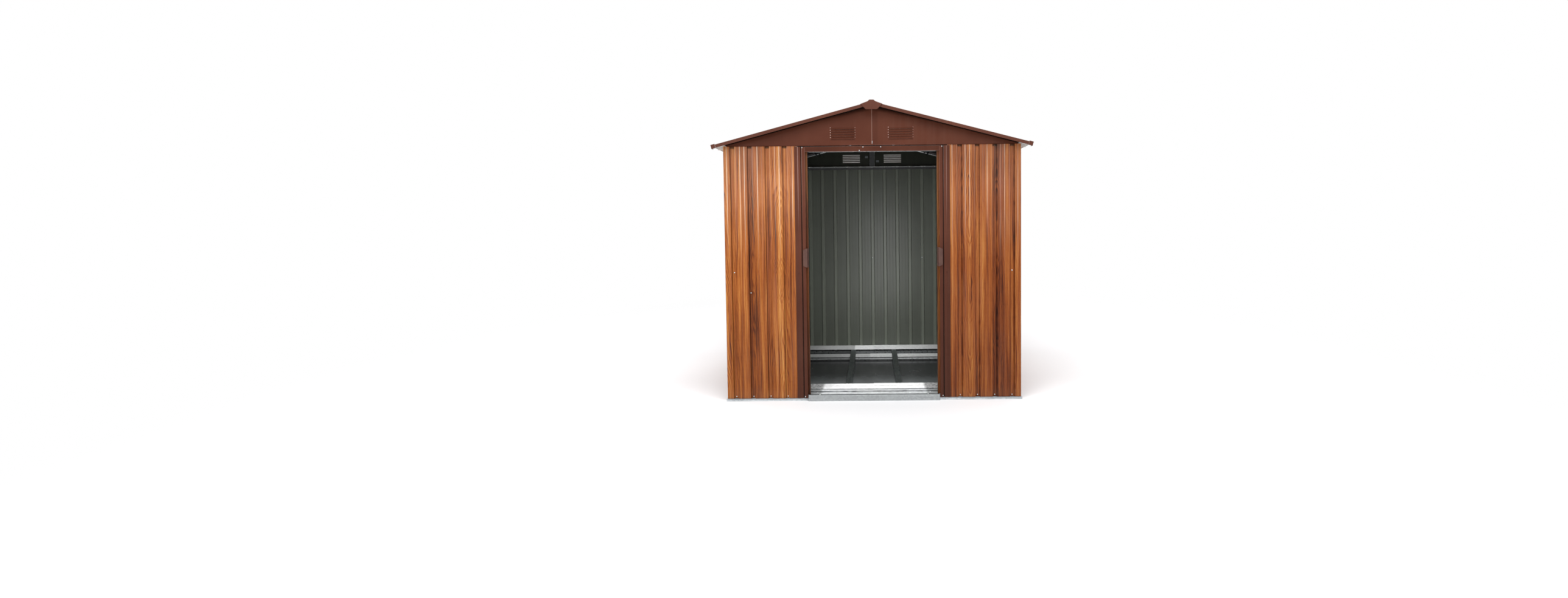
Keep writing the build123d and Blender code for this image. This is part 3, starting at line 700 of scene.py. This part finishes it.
def moulded_plastic(name, colour):
    """Brown moulded plastic with a fine grain."""
    material, w, shader, position, facing = finish_of(name)
    cloud = w.noise(position, 30.0, 3.0)
    faded = w.mix(0.2, colour, "73503F")
    w.fill(
        shader, base_color=w.mix(w.span(cloud, 0.3, 0.7), colour, faded),
        roughness=w.fitted(cloud, 0.14, 0.32), normal=w.bump(w.noise(position, 900.0, 2.0), 0.00006, 0.6))
    return material


def floor_coat(name):
    """Smooth dark grey floor sheet with dust, lighter near the doorway as painted light and darker towards the
    rear as painted shade.
    """
    material, w, shader, position, facing = finish_of(name)
    cloud = w.noise(position, 5.0, 4.0, 0.6)
    fine = w.noise(position, 130.0, 3.0, 0.6)
    dusty = w.fitted(fine, 0.3, cloud)
    depth = w.split(position)[1]
    # Painted light near the doorway and painted shade towards the rear.
    doorway_light = w.times(w.span(depth, -0.36, -0.08, 2.8, 0.95), w.span(depth, -0.10, 0.40, 1.0, 0.55))
    coat = w.mix(w.span(dusty, 0.40, 0.95), "3E4041", "4F5152")
    w.fill(shader, base_color=w.shade(coat, doorway_light), roughness=w.fitted(cloud, 0.20, 0.14), metallic=0.15,
           normal=w.bump(cloud, 0.002, 0.3))
    return material


ALONG_X = (6.0, 260.0, 260.0)
ALONG_Y = (260.0, 6.0, 260.0)
ALONG_Z = (260.0, 260.0, 6.0)
EVEN = (50.0, 50.0, 50.0)

# Painted shade that makes the right front wall darker and a little redder.
RIGHT_WALL_SHADE = (0.76, 0.68, 0.66)

wood_front_left = wood_sheet("wood_print_front_left", 0.053, 0.0, right_shade=RIGHT_WALL_SHADE,
                             knot=(-0.565, FRONT, 0.745), lean=BEAD_LEAN)
wood_front_right = wood_sheet("wood_print_front_right", -0.051, 3.4, right_shade=RIGHT_WALL_SHADE,
                              turn_at=1.08, lean=BEAD_LEAN)
wood_side = wood_sheet("wood_print_sides", 0.02, 7.7, rib_at=RIB_PITCH / 2, along=1)
wood_rear = wood_sheet("wood_print_rear", 0.11, 12.1, ridge_light=0.46, inner_gloss=0.70, inner_tone=0.88,
                       gloss_blur=0.36)
wood_door = wood_sheet("wood_print_doors", 0.075, 17.3, rib_at=DOOR_RIB_AT, marks=door_marks)
brown_coat = brown_paint("brown_coat", colour="4A271B", marks=header_marks)
# The gables' back coat is darker than the walls' as painted shade under the roof.
brown_gable = brown_paint("brown_gable", back="33352F", colour="572F22", hoods_painted_lit=True, marks=gable_marks)
brown_trim = brown_paint("brown_trim", back=PALE_COAT, colour="523026", shade_painted_within=True)
brown_jamb = brown_paint("brown_jamb", colour="5A3225", marks=jamb_marks)
brown_seam = brown_paint("brown_seam", colour="8E6A5E")
brown_dark = brown_paint("brown_dark", colour="3A1A11")
pale_press = brown_paint("pale_press", colour="D2B0A6")
dull_press = brown_paint("dull_press", colour="A37F74")
brown_roof = brown_paint("brown_roof", back=PALE_COAT, colour="5C3328", base_roughness=0.44, shade_painted_within=True)
zinc_across = zinc("zinc_across", ALONG_X)
zinc_track = zinc("zinc_track", ALONG_X, marks=track_marks)
zinc_shaded = zinc("zinc_roof_beams", ALONG_Y, smudges=0.3, metallic=0.6, colour="3C3F40", rougher=0.3)
# Painted shade on the cross rails' lower faces, on the brace left of its lit right edge, and on the rear top
# rail's face under its edge, which is painted brighter.
cross_rail_shade = step_light_and_shade(2, 0.0105, 0.0130, 0.10)
brace_light_and_shade = step_light_and_shade(0, 0.0204, 0.0212, 0.13)
top_rail_light_and_shade = step_light_and_shade(2, 1.5694, 1.5704, 0.085, 1.2)
zinc_brace = zinc("zinc_gable_braces", ALONG_Z, smudges=0.1, metallic=0.2, colour="DADEDE", rougher=0.3,
                  marks=brace_light_and_shade)
# Screws inside: white, brightened past white as a painted highlight.
zinc_inner = zinc("zinc_inner_screws", EVEN, smudges=0.0, metallic=0.15, colour="FFFFFF",
                  rougher=0.1, tones=[(0.0, 1.1)])
zinc_top_rear = zinc("zinc_top_rail", ALONG_X, smudges=0.1, metallic=0.15, colour="F2F4F4", rougher=0.3,
                     marks=top_rail_light_and_shade)
zinc_deep = zinc("zinc_deep", ALONG_Y)
zinc_upright = zinc("zinc_upright", ALONG_Z)
# The darker zinc of the floor bars, also used for the clip plates, is painted shade.
zinc_dark = zinc("zinc_floor_bars", ALONG_Y, smudges=0.8, colour="8E9496", rougher=0.12)
zinc_sill = zinc("zinc_sill", ALONG_X, crystal=0.009, smudges=0.15, metallic=0.55, colour="B2B6B7",
                 rougher=0.22, top_dust_and_light=0.6, top_colour="B8BCBE", marks=sill_marks)
# The tread's white top, brightened past its colour, is painted light.
zinc_tread = zinc("zinc_tread", (3.0, 260.0, 260.0), smudges=0.10, metallic=0.6, colour="F4F6F6", rougher=0.18,
                  top_dust_and_light=0.9, top_colour="FFFFFF", tones=[(0.0, 1.14)], marks=tread_marks)
zinc_guide = zinc("zinc_guide", ALONG_X, smudges=0.45, metallic=0.7, colour="E4EAEC", rougher=0.14,
                  top_dust_and_light=0.6, marks=guide_marks)
zinc_rear = zinc("zinc_rear_rail", ALONG_X, smudges=0.3, metallic=0.6, colour="9A9E9F", top_dust_and_light=0.85,
                 bend_shade=(0.018, 0.0295), tones=[(0.0, 0.72), (-0.16, 0.56), (0.0, -0.14)])
zinc_cross = zinc("zinc_cross_rails", ALONG_X, smudges=0.2, metallic=0.3, colour="D5D8D8", top_dust_and_light=0.7,
                  bend_shade=(0.0215, 0.0295), tones=[(0.0, 0.74), (-0.168, 0.28), (-0.029, 0.28)], marks=cross_rail_shade)
zinc_foot = zinc("zinc_foot", ALONG_X, crystal=0.010, smudges=0.6, metallic=0.9, colour="C2C7CA", rougher=0.12)
# Screws tucked under the gable's edge are darkened as painted shade.
zinc_screws_shaded = zinc("zinc_dull_screws", EVEN, smudges=0.5, metallic=0.5, colour="75604C", rougher=0.25)
zinc_screw = zinc("zinc_screws", EVEN, crystal=0.006, smudges=0.1, rougher=0.02)
handle_plastic = moulded_plastic("brown_handle_plastic", "47281F")
floor_steel = floor_coat("floor_coat")


# Sheets of the solids with their folds and hems rounded

def linked(name, mesh):
    """A new piece in the scene, from a mesh or from one that is still being built."""
    data = mesh
    if isinstance(mesh, bmesh.types.BMesh):
        data = bpy.data.meshes.new(name)
        mesh.to_mesh(data)
        mesh.free()
    piece = bpy.data.objects.new(name, data)
    bpy.context.scene.collection.objects.link(piece)
    return piece


def fold_weights(mesh):
    """How far each fold and hem can be rounded without its neighbours meeting."""
    layer = mesh.edges.layers.float.new("bevel_weight_edge")
    for edge in mesh.edges:
        if len(edge.link_faces) != 2 or edge.calc_face_angle(0.0) < FOLD_LEAST_ANGLE:
            continue
        room = FOLD_RADIUS
        for face in edge.link_faces:
            outline = sum(side.calc_length() for side in face.edges)
            room = min(room, FOLD_SHARE * 2 * face.calc_area() / outline)
        edge[layer] = max(0.02, room / FOLD_RADIUS)


def lean_beads(mesh):
    """Moves each pair of front beads a little towards the doorway, as on the real sheets."""
    for vertex in mesh.verts:
        out_x = abs(vertex.co.x)
        from_middle = abs(out_x % RIB_PITCH - RIB_PITCH / 2)
        if abs(from_middle - BEAD_PLACE) < 0.0022 and out_x > 0.49:
            vertex.co.x -= math.copysign(BEAD_LEAN, vertex.co.x)


def rounded(node):
    """A copy of a node's sheet, merged, with every fold and hem rounded."""
    mesh = bmesh.new()
    mesh.from_mesh(frame["nodes"][node].data)
    bmesh.ops.remove_doubles(mesh, verts=mesh.verts, dist=2e-6)
    bmesh.ops.dissolve_limit(
        mesh, angle_limit=math.radians(0.3), use_dissolve_boundaries=False, verts=mesh.verts, edges=mesh.edges)
    if node.startswith("front_wall"):
        lean_beads(mesh)
    fold_weights(mesh)
    sheet = linked(node + "_sheet", mesh)
    bevel = sheet.modifiers.new("folds", "BEVEL")
    bevel.limit_method = "WEIGHT"
    bevel.width = FOLD_RADIUS
    bevel.segments = 2
    bevel.use_clamp_overlap = False
    bevel.harden_normals = True
    bevel.miter_outer = "MITER_SHARP"
    return settle(sheet)


def settle(piece):
    """Turns what the modifiers make into the piece's plain mesh."""
    reading = piece.evaluated_get(bpy.context.evaluated_depsgraph_get())
    plain = bpy.data.meshes.new_from_object(reading)
    plain.name = piece.name
    old = piece.data
    piece.modifiers.clear()
    piece.data = plain
    if old.users == 0:
        bpy.data.meshes.remove(old)
    return piece


def dress(piece, material, slot, body, *nodes):
    piece.data.materials.clear()
    piece.data.materials.append(material)
    if nodes:
        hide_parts(*nodes)
    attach(piece, body)
    return piece


WOOD = "wood_look_sheet"
BROWN = "brown_sheet"
ZINC = "galvanised_steel"
PLASTIC = "brown_plastic"

sheet_finishes = (
    (wood_front_left, WOOD, "front_wall_left"),
    (wood_front_right, WOOD, "front_wall_right"),
    (wood_side, WOOD, "side_wall_left side_wall_right"),
    (wood_rear, WOOD, "rear_wall"),
    (wood_front_left, WOOD, "corner_sheets_front"),
    (wood_rear, WOOD, "corner_sheets_rear"),
    (wood_door, WOOD, "door_left door_right"),
    (brown_jamb, BROWN, "jamb_left jamb_right"),
    (brown_coat, BROWN, "door_header"),
    (brown_gable, BROWN, "gable_front_left gable_front_right gable_rear_left gable_rear_right"),
    (brown_roof, BROWN, "roof_panel_left roof_panel_right"),
    (brown_trim, BROWN, "ridge_cap ridge_ends rake_trims_front rake_trims_rear eaves_trims corner_caps"),
    (zinc_sill, ZINC, "door_sill"),
    (zinc_track, ZINC, "door_track_upper"),
    (zinc_guide, ZINC, "door_guide_lower"),
    (zinc_tread, ZINC, "floor_tread_front"),
    (zinc_top_rear, ZINC, "top_rail_rear"),
    (zinc_cross, ZINC, "cross_rails"),
    (zinc_foot, ZINC, "floor_rail_front"),
    (zinc_rear, ZINC, "floor_rail_rear"),
    (zinc_deep, ZINC, "top_rail_left top_rail_right floor_rail_left floor_rail_right ridge_beam"),
    (zinc_shaded, ZINC, "roof_beams"),
    (zinc_dark, ZINC, "floor_bars"),
    (zinc_brace, ZINC, "gable_braces"),
    (zinc_across, ZINC, "door_bars_left door_bars_right"),
    (zinc_upright, ZINC, "door_hangers_left door_hangers_right"),
    (handle_plastic, PLASTIC, "door_handle_left door_handle_right"),
    (floor_steel, ZINC, "floor_sheet"),
)

body_of_node = {}
for body_name, members in frame["record"]["behaviour"]["bodies"].items():
    for member in members:
        body_of_node[member] = body_name

for finish, slot, nodes in sheet_finishes:
    for node in nodes.split():
        dress(rounded(node), finish, slot, body_of_node[node], node)


# Screws, set by a geometry-node tree on points that say which way they face

HEAD_SIDES = 12
DOME = 0.42


def lathe(name, profile, segments=HEAD_SIDES):
    """A closed turned shape round Z from (radius, height) steps, top to bottom."""
    mesh = bmesh.new()
    rings = []
    for radius, height in profile:
        if radius == 0.0:
            rings.append([mesh.verts.new((0.0, 0.0, height))])
            continue
        ring = []
        for step in range(segments):
            angle = 2 * math.pi * step / segments
            ring.append(mesh.verts.new((radius * math.cos(angle), radius * math.sin(angle), height)))
        rings.append(ring)
    for above, below in zip(rings, rings[1:]):
        for step in range(segments):
            following = (step + 1) % segments
            if len(above) == 1:
                mesh.faces.new((above[0], below[step], below[following]))
            elif len(below) == 1:
                mesh.faces.new((above[following], above[step], below[0]))
            else:
                mesh.faces.new((above[following], above[step], below[step], below[following]))
    bmesh.ops.recalc_face_normals(mesh, faces=mesh.faces)
    data = bpy.data.meshes.new(name)
    mesh.to_mesh(data)
    mesh.free()
    return bpy.data.objects.new(name, data)


def screw_head(name, washer=None):
    """A pan head one unit across, with a cross recess, on a washer if there is one."""
    profile = [(0.0, DOME * 0.52), (0.10, DOME * 0.52), (0.13, DOME * 0.98), (0.30, DOME * 0.90),
               (0.44, DOME * 0.62), (0.50, DOME * 0.22), (0.50, 0.0)]
    if washer:
        profile += [(washer - 0.06, 0.0), (washer, -0.05), (washer, -0.10)]
        profile = [(radius, height + 0.12) for radius, height in profile]
    profile.append((0.0, profile[-1][1]))
    head = lathe(name, profile)
    cut_cross(head.data)
    return head


def cut_cross(data):
    """Pulls four of the recess's rim corners outwards, so that it reads as a cross."""
    for vertex in data.vertices:
        radius = math.hypot(vertex.co.x, vertex.co.y)
        if 0.05 < radius < 0.14:
            angle = math.atan2(vertex.co.y, vertex.co.x)
            reach = 1.9 if abs(math.cos(2 * angle)) > 0.9 else 0.75
            vertex.co.x *= reach
            vertex.co.y *= reach


OUT_FRONT = (0.0, -1.0, 0.0)
OUT_REAR = (0.0, 1.0, 0.0)
OUT_LEFT = (-1.0, 0.0, 0.0)
OUT_RIGHT = (1.0, 0.0, 0.0)
UP = (0.0, 0.0, 1.0)


def make_screw_tree():
    """Sets a head on every point, turned to face outwards and by a random angle."""
    tree = bpy.data.node_groups.new("screws_on_points", "GeometryNodeTree")
    sockets = {}
    for label, kind in (("Points", "NodeSocketGeometry"), ("Head", "NodeSocketObject"),
                        ("Head diameter", "NodeSocketFloat"), ("Turn seed", "NodeSocketInt"),
                        ("Finish", "NodeSocketMaterial")):
        sockets[label] = tree.interface.new_socket(label, in_out="INPUT", socket_type=kind)
    tree.interface.new_socket("Screws", in_out="OUTPUT", socket_type="NodeSocketGeometry")
    w = Wiring(tree)
    given = w.node("NodeGroupInput").outputs
    facing = w.node("GeometryNodeInputNamedAttribute", data_type="FLOAT_VECTOR")
    w.fill(facing, name="facing")
    aligned = w.node("FunctionNodeAlignRotationToVector", axis="Z")
    w.fill(aligned, vector=facing.outputs["Attribute"])
    turn = w.node("FunctionNodeRandomValue", data_type="FLOAT")
    turn.inputs[2].default_value = 0.0
    turn.inputs[3].default_value = 2 * math.pi
    w.fill(turn, seed=given["Turn seed"])
    about = w.fill(w.node("FunctionNodeAxisAngleToRotation"), axis=UP, angle=turn.outputs[1])
    turned = w.node("FunctionNodeRotateRotation", rotation_space="LOCAL")
    w.join(aligned.outputs[0], turned.inputs[0])
    w.join(about.outputs[0], turned.inputs[1])
    head = w.fill(w.node("GeometryNodeObjectInfo"), object=given["Head"])
    place = w.fill(
        w.node("GeometryNodeInstanceOnPoints"), points=given["Points"], instance=head.outputs["Geometry"],
        rotation=turned.outputs[0], scale=given["Head diameter"])
    real = w.fill(w.node("GeometryNodeRealizeInstances"), geometry=place.outputs[0])
    paint = w.fill(w.node("GeometryNodeSetMaterial"), geometry=real.outputs[0], material=given["Finish"])
    w.join(paint.outputs[0], w.node("NodeGroupOutput").inputs[0])
    return tree, {label: socket.identifier for label, socket in sockets.items()}


screw_tree, screw_inputs = make_screw_tree()
plain_head = screw_head("plain_head")
pressed_dome = lathe(
    "pressed_dome", [(0.0, 0.34), (0.22, 0.30), (0.40, 0.18), (0.5, 0.02), (0.5, -0.05), (0.0, -0.05)])
washer_head = screw_head("washer_head", washer=0.86)


def set_screws(name, points, head, diameter, seed, material, slot=ZINC):
    """points is a list of (place, facing); the result is one plain mesh that rides the shed."""
    data = bpy.data.meshes.new(name)
    data.from_pydata([place for place, facing in points], [], [])
    layer = data.attributes.new("facing", "FLOAT_VECTOR", "POINT")
    for item, (place, facing) in zip(layer.data, points):
        item.vector = facing
    piece = linked(name, data)
    maker = piece.modifiers.new("screws", "NODES")
    maker.node_group = screw_tree
    maker[screw_inputs["Head"]] = head
    maker[screw_inputs["Head diameter"]] = diameter
    maker[screw_inputs["Turn seed"]] = seed
    maker[screw_inputs["Finish"]] = material
    return dress(settle(piece), material, slot, "shed")


SCREW = 0.0078
FOOT_ROW = 0.0248
MIDDLE_ROW = 0.798
LIP_ROW = 1.5620
TUCKED_ROW = 1.5655
JAMB_SCREW_AT = 0.4262
HEADER_SCREW_AT = 0.0542


def seat(nodes, start, facing):
    """The first point of the nodes' sheets that a screw driven in from start would meet, and its facing."""
    met = []
    for node in nodes.split():
        if node not in seats:
            mesh = frame["nodes"][node].data
            seats[node] = BVHTree.FromPolygons(
                [vertex.co for vertex in mesh.vertices], [tuple(face.vertices) for face in mesh.polygons])
        place, normal, index, distance = seats[node].ray_cast(Vector(start), -Vector(facing))
        if place is not None:
            met.append((distance, tuple(place)))
    return (min(met)[1], facing)


seats = {}
RIB_STEPS = (5, 6, 7, 8)
TREAD_SCREWS = ((-0.1764, -0.3550), (-0.0397, -0.3550), (0.1712, -0.3545),
                (-0.3579, -0.4821), (0.3546, -0.4802), (-0.3365, -0.5385), (0.3348, -0.5380))

front_screws, tucked_screws, painted_screws = [], [], []
for side, wall, jamb in ((-1, "front_wall_left", "jamb_left"), (1, "front_wall_right", "jamb_right")):
    for count in RIB_STEPS:
        for row, level in ((front_screws, FOOT_ROW), (tucked_screws, TUCKED_ROW)):
            row.append(seat(wall, (side * count * RIB_PITCH, -1.0, level), OUT_FRONT))
    front_screws.append(seat(wall, (side * 8 * RIB_PITCH, -1.0, MIDDLE_ROW), OUT_FRONT))
    for out_x, level in ((JAMB_SCREW_AT, FOOT_ROW), (JAMB_SCREW_AT, LIP_ROW), (HEADER_SCREW_AT, LIP_ROW)):
        front_screws.append(((side * out_x, COVER_FACE, level), OUT_FRONT))
    painted_screws.append(seat(jamb, (side * 0.4543, -1.0, 0.793), OUT_FRONT))
front_screws.append(seat("front_wall_left", (-0.7555, -1.0, 0.672), OUT_FRONT))
front_screws.append(seat("door_header", (-0.0766, -1.0, 1.5400), OUT_FRONT))
set_screws("front_screws", front_screws, plain_head, SCREW, 3, zinc_screw)
set_screws("tucked_screws", tucked_screws, plain_head, SCREW, 4, zinc_screws_shaded)
set_screws("painted_screws", painted_screws, plain_head, 0.0068, 6, brown_dark, BROWN)

# Screws of the side walls, rear wall and roof, one row at each rail or beam
outer_screws = []
for side, wall, facing in ((-1, "side_wall_left", OUT_LEFT), (1, "side_wall_right", OUT_RIGHT)):
    for count in range(10):
        for level in (FOOT_ROW, MIDDLE_ROW, 1.5560):
            if level < 0.1 or level > 1.5 or count in (0, 9):
                outer_screws.append(seat(wall, (side * 1.5, (count - 4.5) * RIB_PITCH, level), facing))
for count in range(-8, 9):
    for level in (FOOT_ROW, MIDDLE_ROW, 1.5600):
        if level < 0.1 or level > 1.5 or count in (-8, -4, 0, 4, 8):
            outer_screws.append(seat("rear_wall", (count * RIB_PITCH, 1.5, level), OUT_REAR))
set_screws("wall_screws", outer_screws, plain_head, SCREW, 11, zinc_screw)

roof_screws = []
for side, panel in ((-1, "roof_panel_left"), (1, "roof_panel_right")):
    facing = (side * math.sin(ROOF_PITCH), 0.0, math.cos(ROOF_PITCH))
    for count in range(10):
        for out_x in (0.895, 0.47, 0.10):
            start = Vector((side * out_x, (count - 4.5) * RIB_PITCH, 1.95)) + Vector(facing) * 0.1
            roof_screws.append(seat(panel, start, facing))
set_screws("roof_screws", roof_screws, washer_head, SCREW, 13, zinc_screw)

# Screws that show on the rear rail and the rear wall through the doorway
inner_screws = [seat("top_rail_rear", (count * RIB_PITCH, 0.0, 1.5700), OUT_FRONT) for count in range(-5, 6)]
inner_screws.append(seat("rear_wall", (-0.002, 0.0, 0.792), OUT_FRONT))
inner_screws.append(seat("rear_wall", (0.4247, 0.0, 0.791), OUT_FRONT))
set_screws("inner_screws", inner_screws, plain_head, 0.0070, 17, zinc_inner)

tread_screws = [seat("floor_tread_front door_guide_lower door_sill", (x, y, 0.5), UP) for x, y in TREAD_SCREWS]
set_screws("tread_screws", tread_screws, plain_head, SCREW, 19, zinc_screw)

# Pressed corners at both ends of every louvre, coloured pale as painted glints, brighter at the left ends
LOUVRE_MIDDLE = 0.1765
LOUVRE_HALF = 0.0750
LOUVRE_LEVEL = 1.6499
LOUVRE_PITCH = 0.0149
LOUVRE_LEVELS = [LOUVRE_LEVEL + LOUVRE_PITCH * step for step in (-2, -1, 0, 1, 2)]
SEAM_FOOT = 1.5775
SEAM_TOP = 1.7950

for name, face, facing in (("front", COVER_FACE, OUT_FRONT), ("rear", -COVER_FACE, OUT_REAR)):
    left_ends, right_ends = [], []
    for side in (-1, 1):
        for level in LOUVRE_LEVELS:
            left_ends.append(((side * LOUVRE_MIDDLE - LOUVRE_HALF, face, level), facing))
            right_ends.append(((side * LOUVRE_MIDDLE + LOUVRE_HALF, face, level), facing))
    set_screws("louvre_corners_%s_a" % name, left_ends, pressed_dome, 0.0060, 5, pale_press, BROWN)
    set_screws("louvre_corners_%s_b" % name, right_ends, pressed_dome, 0.0056, 5, dull_press, BROWN)


# Small formed pieces: a flat outline pushed through a thickness, with its edges rounded

CORNERS = ((-1, -1), (1, -1), (1, 1), (-1, 1))


def prism(near, far):
    """A closed mesh between two outlines of as many points."""
    mesh = bmesh.new()
    near, far = ([mesh.verts.new(point) for point in outline] for outline in (near, far))
    mesh.faces.new(near)
    mesh.faces.new(far[::-1])
    for index in range(len(near)):
        after = (index + 1) % len(near)
        mesh.faces.new((near[index], far[index], far[after], near[after]))
    bmesh.ops.recalc_face_normals(mesh, faces=mesh.faces)
    return mesh


def formed(name, outline, low, high, plane, material, slot, round_by=0.0005):
    """outline is a list of points in the plane "xz" or "xy"; low and high are along the third axis."""
    order = {"xz": lambda a, b, c: (a, c, b), "xy": lambda a, b, c: (a, b, c)}[plane]
    mesh = prism([order(a, b, low) for a, b in outline], [order(a, b, high) for a, b in outline])
    return finished(name, mesh, round_by, material, slot)


def finished(name, mesh, round_by, material, slot, hardened=True):
    """The piece of a closed mesh, its edges rounded."""
    piece = linked(name, mesh)
    edge = piece.modifiers.new("edges", "BEVEL")
    edge.width = round_by
    edge.segments = 2
    edge.limit_method = "ANGLE"
    edge.harden_normals = hardened
    return dress(settle(piece), material, slot, "shed")


def sloped_strip(name, start, end, width, thickness, tilt, material, slot):
    """A flat strip from start to end that faces the doorway, tilted to face a little down."""
    start, end = Vector(start), Vector(end)
    facing = Vector((0.0, -math.cos(tilt), -math.sin(tilt)))
    side = (end - start).cross(facing).normalized()
    near, far = (
        [point + side * width * a / 2 + facing * thickness * b / 2 for a, b in CORNERS]
        for point in (start, end))
    return finished(name, prism(near, far), thickness * 0.3, material, slot, hardened=False)


# Two small clip plates beside the rear brace
CLIP_HALF_WIDTH = 0.013
CLIP_HALF_HEIGHT = 0.009

for name, (x, z) in (("left", (-0.047, 1.659)), ("right", (0.0476, 1.623))):
    plate = [(x + a * CLIP_HALF_WIDTH, z + b * CLIP_HALF_HEIGHT) for a, b in CORNERS]
    back = seat("gable_rear_left gable_rear_right", (x, 0.0, z), OUT_FRONT)[0][1]
    formed("clip_plate_" + name, plate, back - 0.0016, back, "xz", zinc_dark, ZINC, 0.0004)

# Bright edge strip along the top of the rear gable, seen in the doorway's upper corners
for side, name in ((-1, "left"), (1, "right")):
    ends = [(side * out_x, 0.5240, RIDGE_LINE - 0.0190 - out_x * math.tan(ROOF_PITCH))
            for out_x in (0.62, 0.10)]
    sloped_strip("gable_edge_strip_" + name, ends[0], ends[1], 0.0050, 0.0010, math.radians(14.0), zinc_screw,
                 ZINC)

# The folded lap that covers the joint of each gable, with a bare chip at its foot
for name, turn in (("front", 1), ("rear", -1)):
    face = COVER_FACE * turn
    seam = [(-0.0012, 0.0), (-0.0004, -0.0010), (0.0024, -0.0010), (0.0032, 0.0)]
    outline = [(x * turn, face + depth * turn) for x, depth in seam]
    # The lap's pale coat is a painted highlight.
    formed("gable_seam_" + name, outline, SEAM_FOOT, SEAM_TOP, "xy", brown_seam, BROWN, 0.0003)
    # The dark strip beside the lap is its painted shadow.
    groove = [(0.0034 * turn, face), (0.0056 * turn, face), (0.0056 * turn, face - 0.0002 * turn),
              (0.0034 * turn, face - 0.0002 * turn)]
    formed("gable_seam_shade_" + name, groove, SEAM_FOOT, SEAM_TOP, "xy", brown_dark, BROWN, 0.00005)
chip = [(0.0010, 1.5830), (0.0032, 1.5815), (0.0040, 1.5900), (0.0036, 1.5985), (0.0016, 1.5990)]
formed("gable_seam_chip", chip, COVER_FACE - 0.0014, COVER_FACE - 0.0009, "xz", zinc_screw, ZINC, 0.0001)


# Studio: pale floor, bright surroundings and soft lamps

WHITE = (1.0, 1.0, 1.0, 1.0)
FADE_FROM = 1.7
FADE_TO = 4.2
SKY_LIGHT = 0.40


def studio_floor():
    """A wide pale disc that fades to the background's white far from the shed."""
    mesh = bmesh.new()
    bmesh.ops.create_circle(mesh, cap_ends=True, radius=26.0, segments=96)
    floor = linked("studio_floor", mesh)
    material, w, shader, position, facing = finish_of("studio_floor")
    w.fill(shader, base_color=(0.72, 0.72, 0.73, 1.0), roughness=0.75)
    white = w.fill(w.node("ShaderNodeEmission"), color=WHITE)
    far = w.span(w.vector_math("LENGTH", position), FADE_FROM, FADE_TO)
    blend = w.node("ShaderNodeMixShader")
    for value, socket in zip((far, shader.outputs[0], white.outputs[0]), blend.inputs):
        w.join(value, socket)
    w.join(blend.outputs[0], material.node_tree.nodes["Material Output"].inputs["Surface"])
    floor.data.materials.append(material)


def studio_world():
    """White where the camera or a gloss sees it, and a dimmer light on the object."""
    world = bpy.data.worlds.new("studio")
    bpy.context.scene.world = world
    world.use_nodes = True
    w = Wiring(world.node_tree)
    path = w.node("ShaderNodeLightPath")
    seen = w.most(path.outputs["Is Camera Ray"],
                  w.most(path.outputs["Is Glossy Ray"], path.outputs["Is Transmission Ray"]))
    w.fill(world.node_tree.nodes["Background"], color=WHITE,
           strength=w.span(seen, 0.0, 1.0, SKY_LIGHT, 1.0, smooth=False))


def lamp(name, place, target, width, height, power, spread=180.0):
    data = bpy.data.lights.new(name, "AREA")
    data.shape = "RECTANGLE"
    data.size = width
    data.size_y = height
    data.energy = power
    data.spread = math.radians(spread)
    light = bpy.data.objects.new(name, data)
    direction = Vector(target) - Vector(place)
    light.matrix_world = Matrix.Translation(place) @ direction.to_track_quat("-Z", "Y").to_matrix().to_4x4()
    bpy.context.scene.collection.objects.link(light)


studio_floor()
studio_world()
lamp("sky_panel", (-0.6, -4.2, 5.0), (0.0, -0.4, 0.8), 6.0, 3.0, 150.0)
lamp("steep_panel", (0.0, -1.25, 4.7), (0.0, -0.40, 0.0), 2.4, 0.5, 150.0)
lamp("left_strip", (-4.0, -5.2, 1.95), (0.0, -0.5, 1.2), 0.35, 1.3, 60.0)
lamp("right_strip", (4.0, -5.2, 1.95), (0.0, -0.5, 1.2), 0.35, 1.3, 40.0)
lamp("doorway_fill", (0.14, -0.49, 0.74), (0.18, 0.5, 0.72), 0.48, 0.9, 2.9)
lamp("rail_fill", (0.0, 0.34, 1.30), (0.0, 0.47, 0.03), 0.9, 0.10, 0.46, spread=30.0)
lamp("left_panel", (-5.2, 0.5, 3.2), (0.0, 0.0, 0.8), 3.0, 2.0, 120.0)
lamp("right_panel", (5.2, 0.8, 3.0), (0.0, 0.0, 0.8), 3.0, 2.0, 90.0)
lamp("rear_panel", (1.0, 5.0, 3.6), (0.0, 0.0, 0.8), 4.0, 2.4, 150.0)

bpy.context.scene.view_settings.view_transform = "Standard"

bpy.context.view_layer.update()
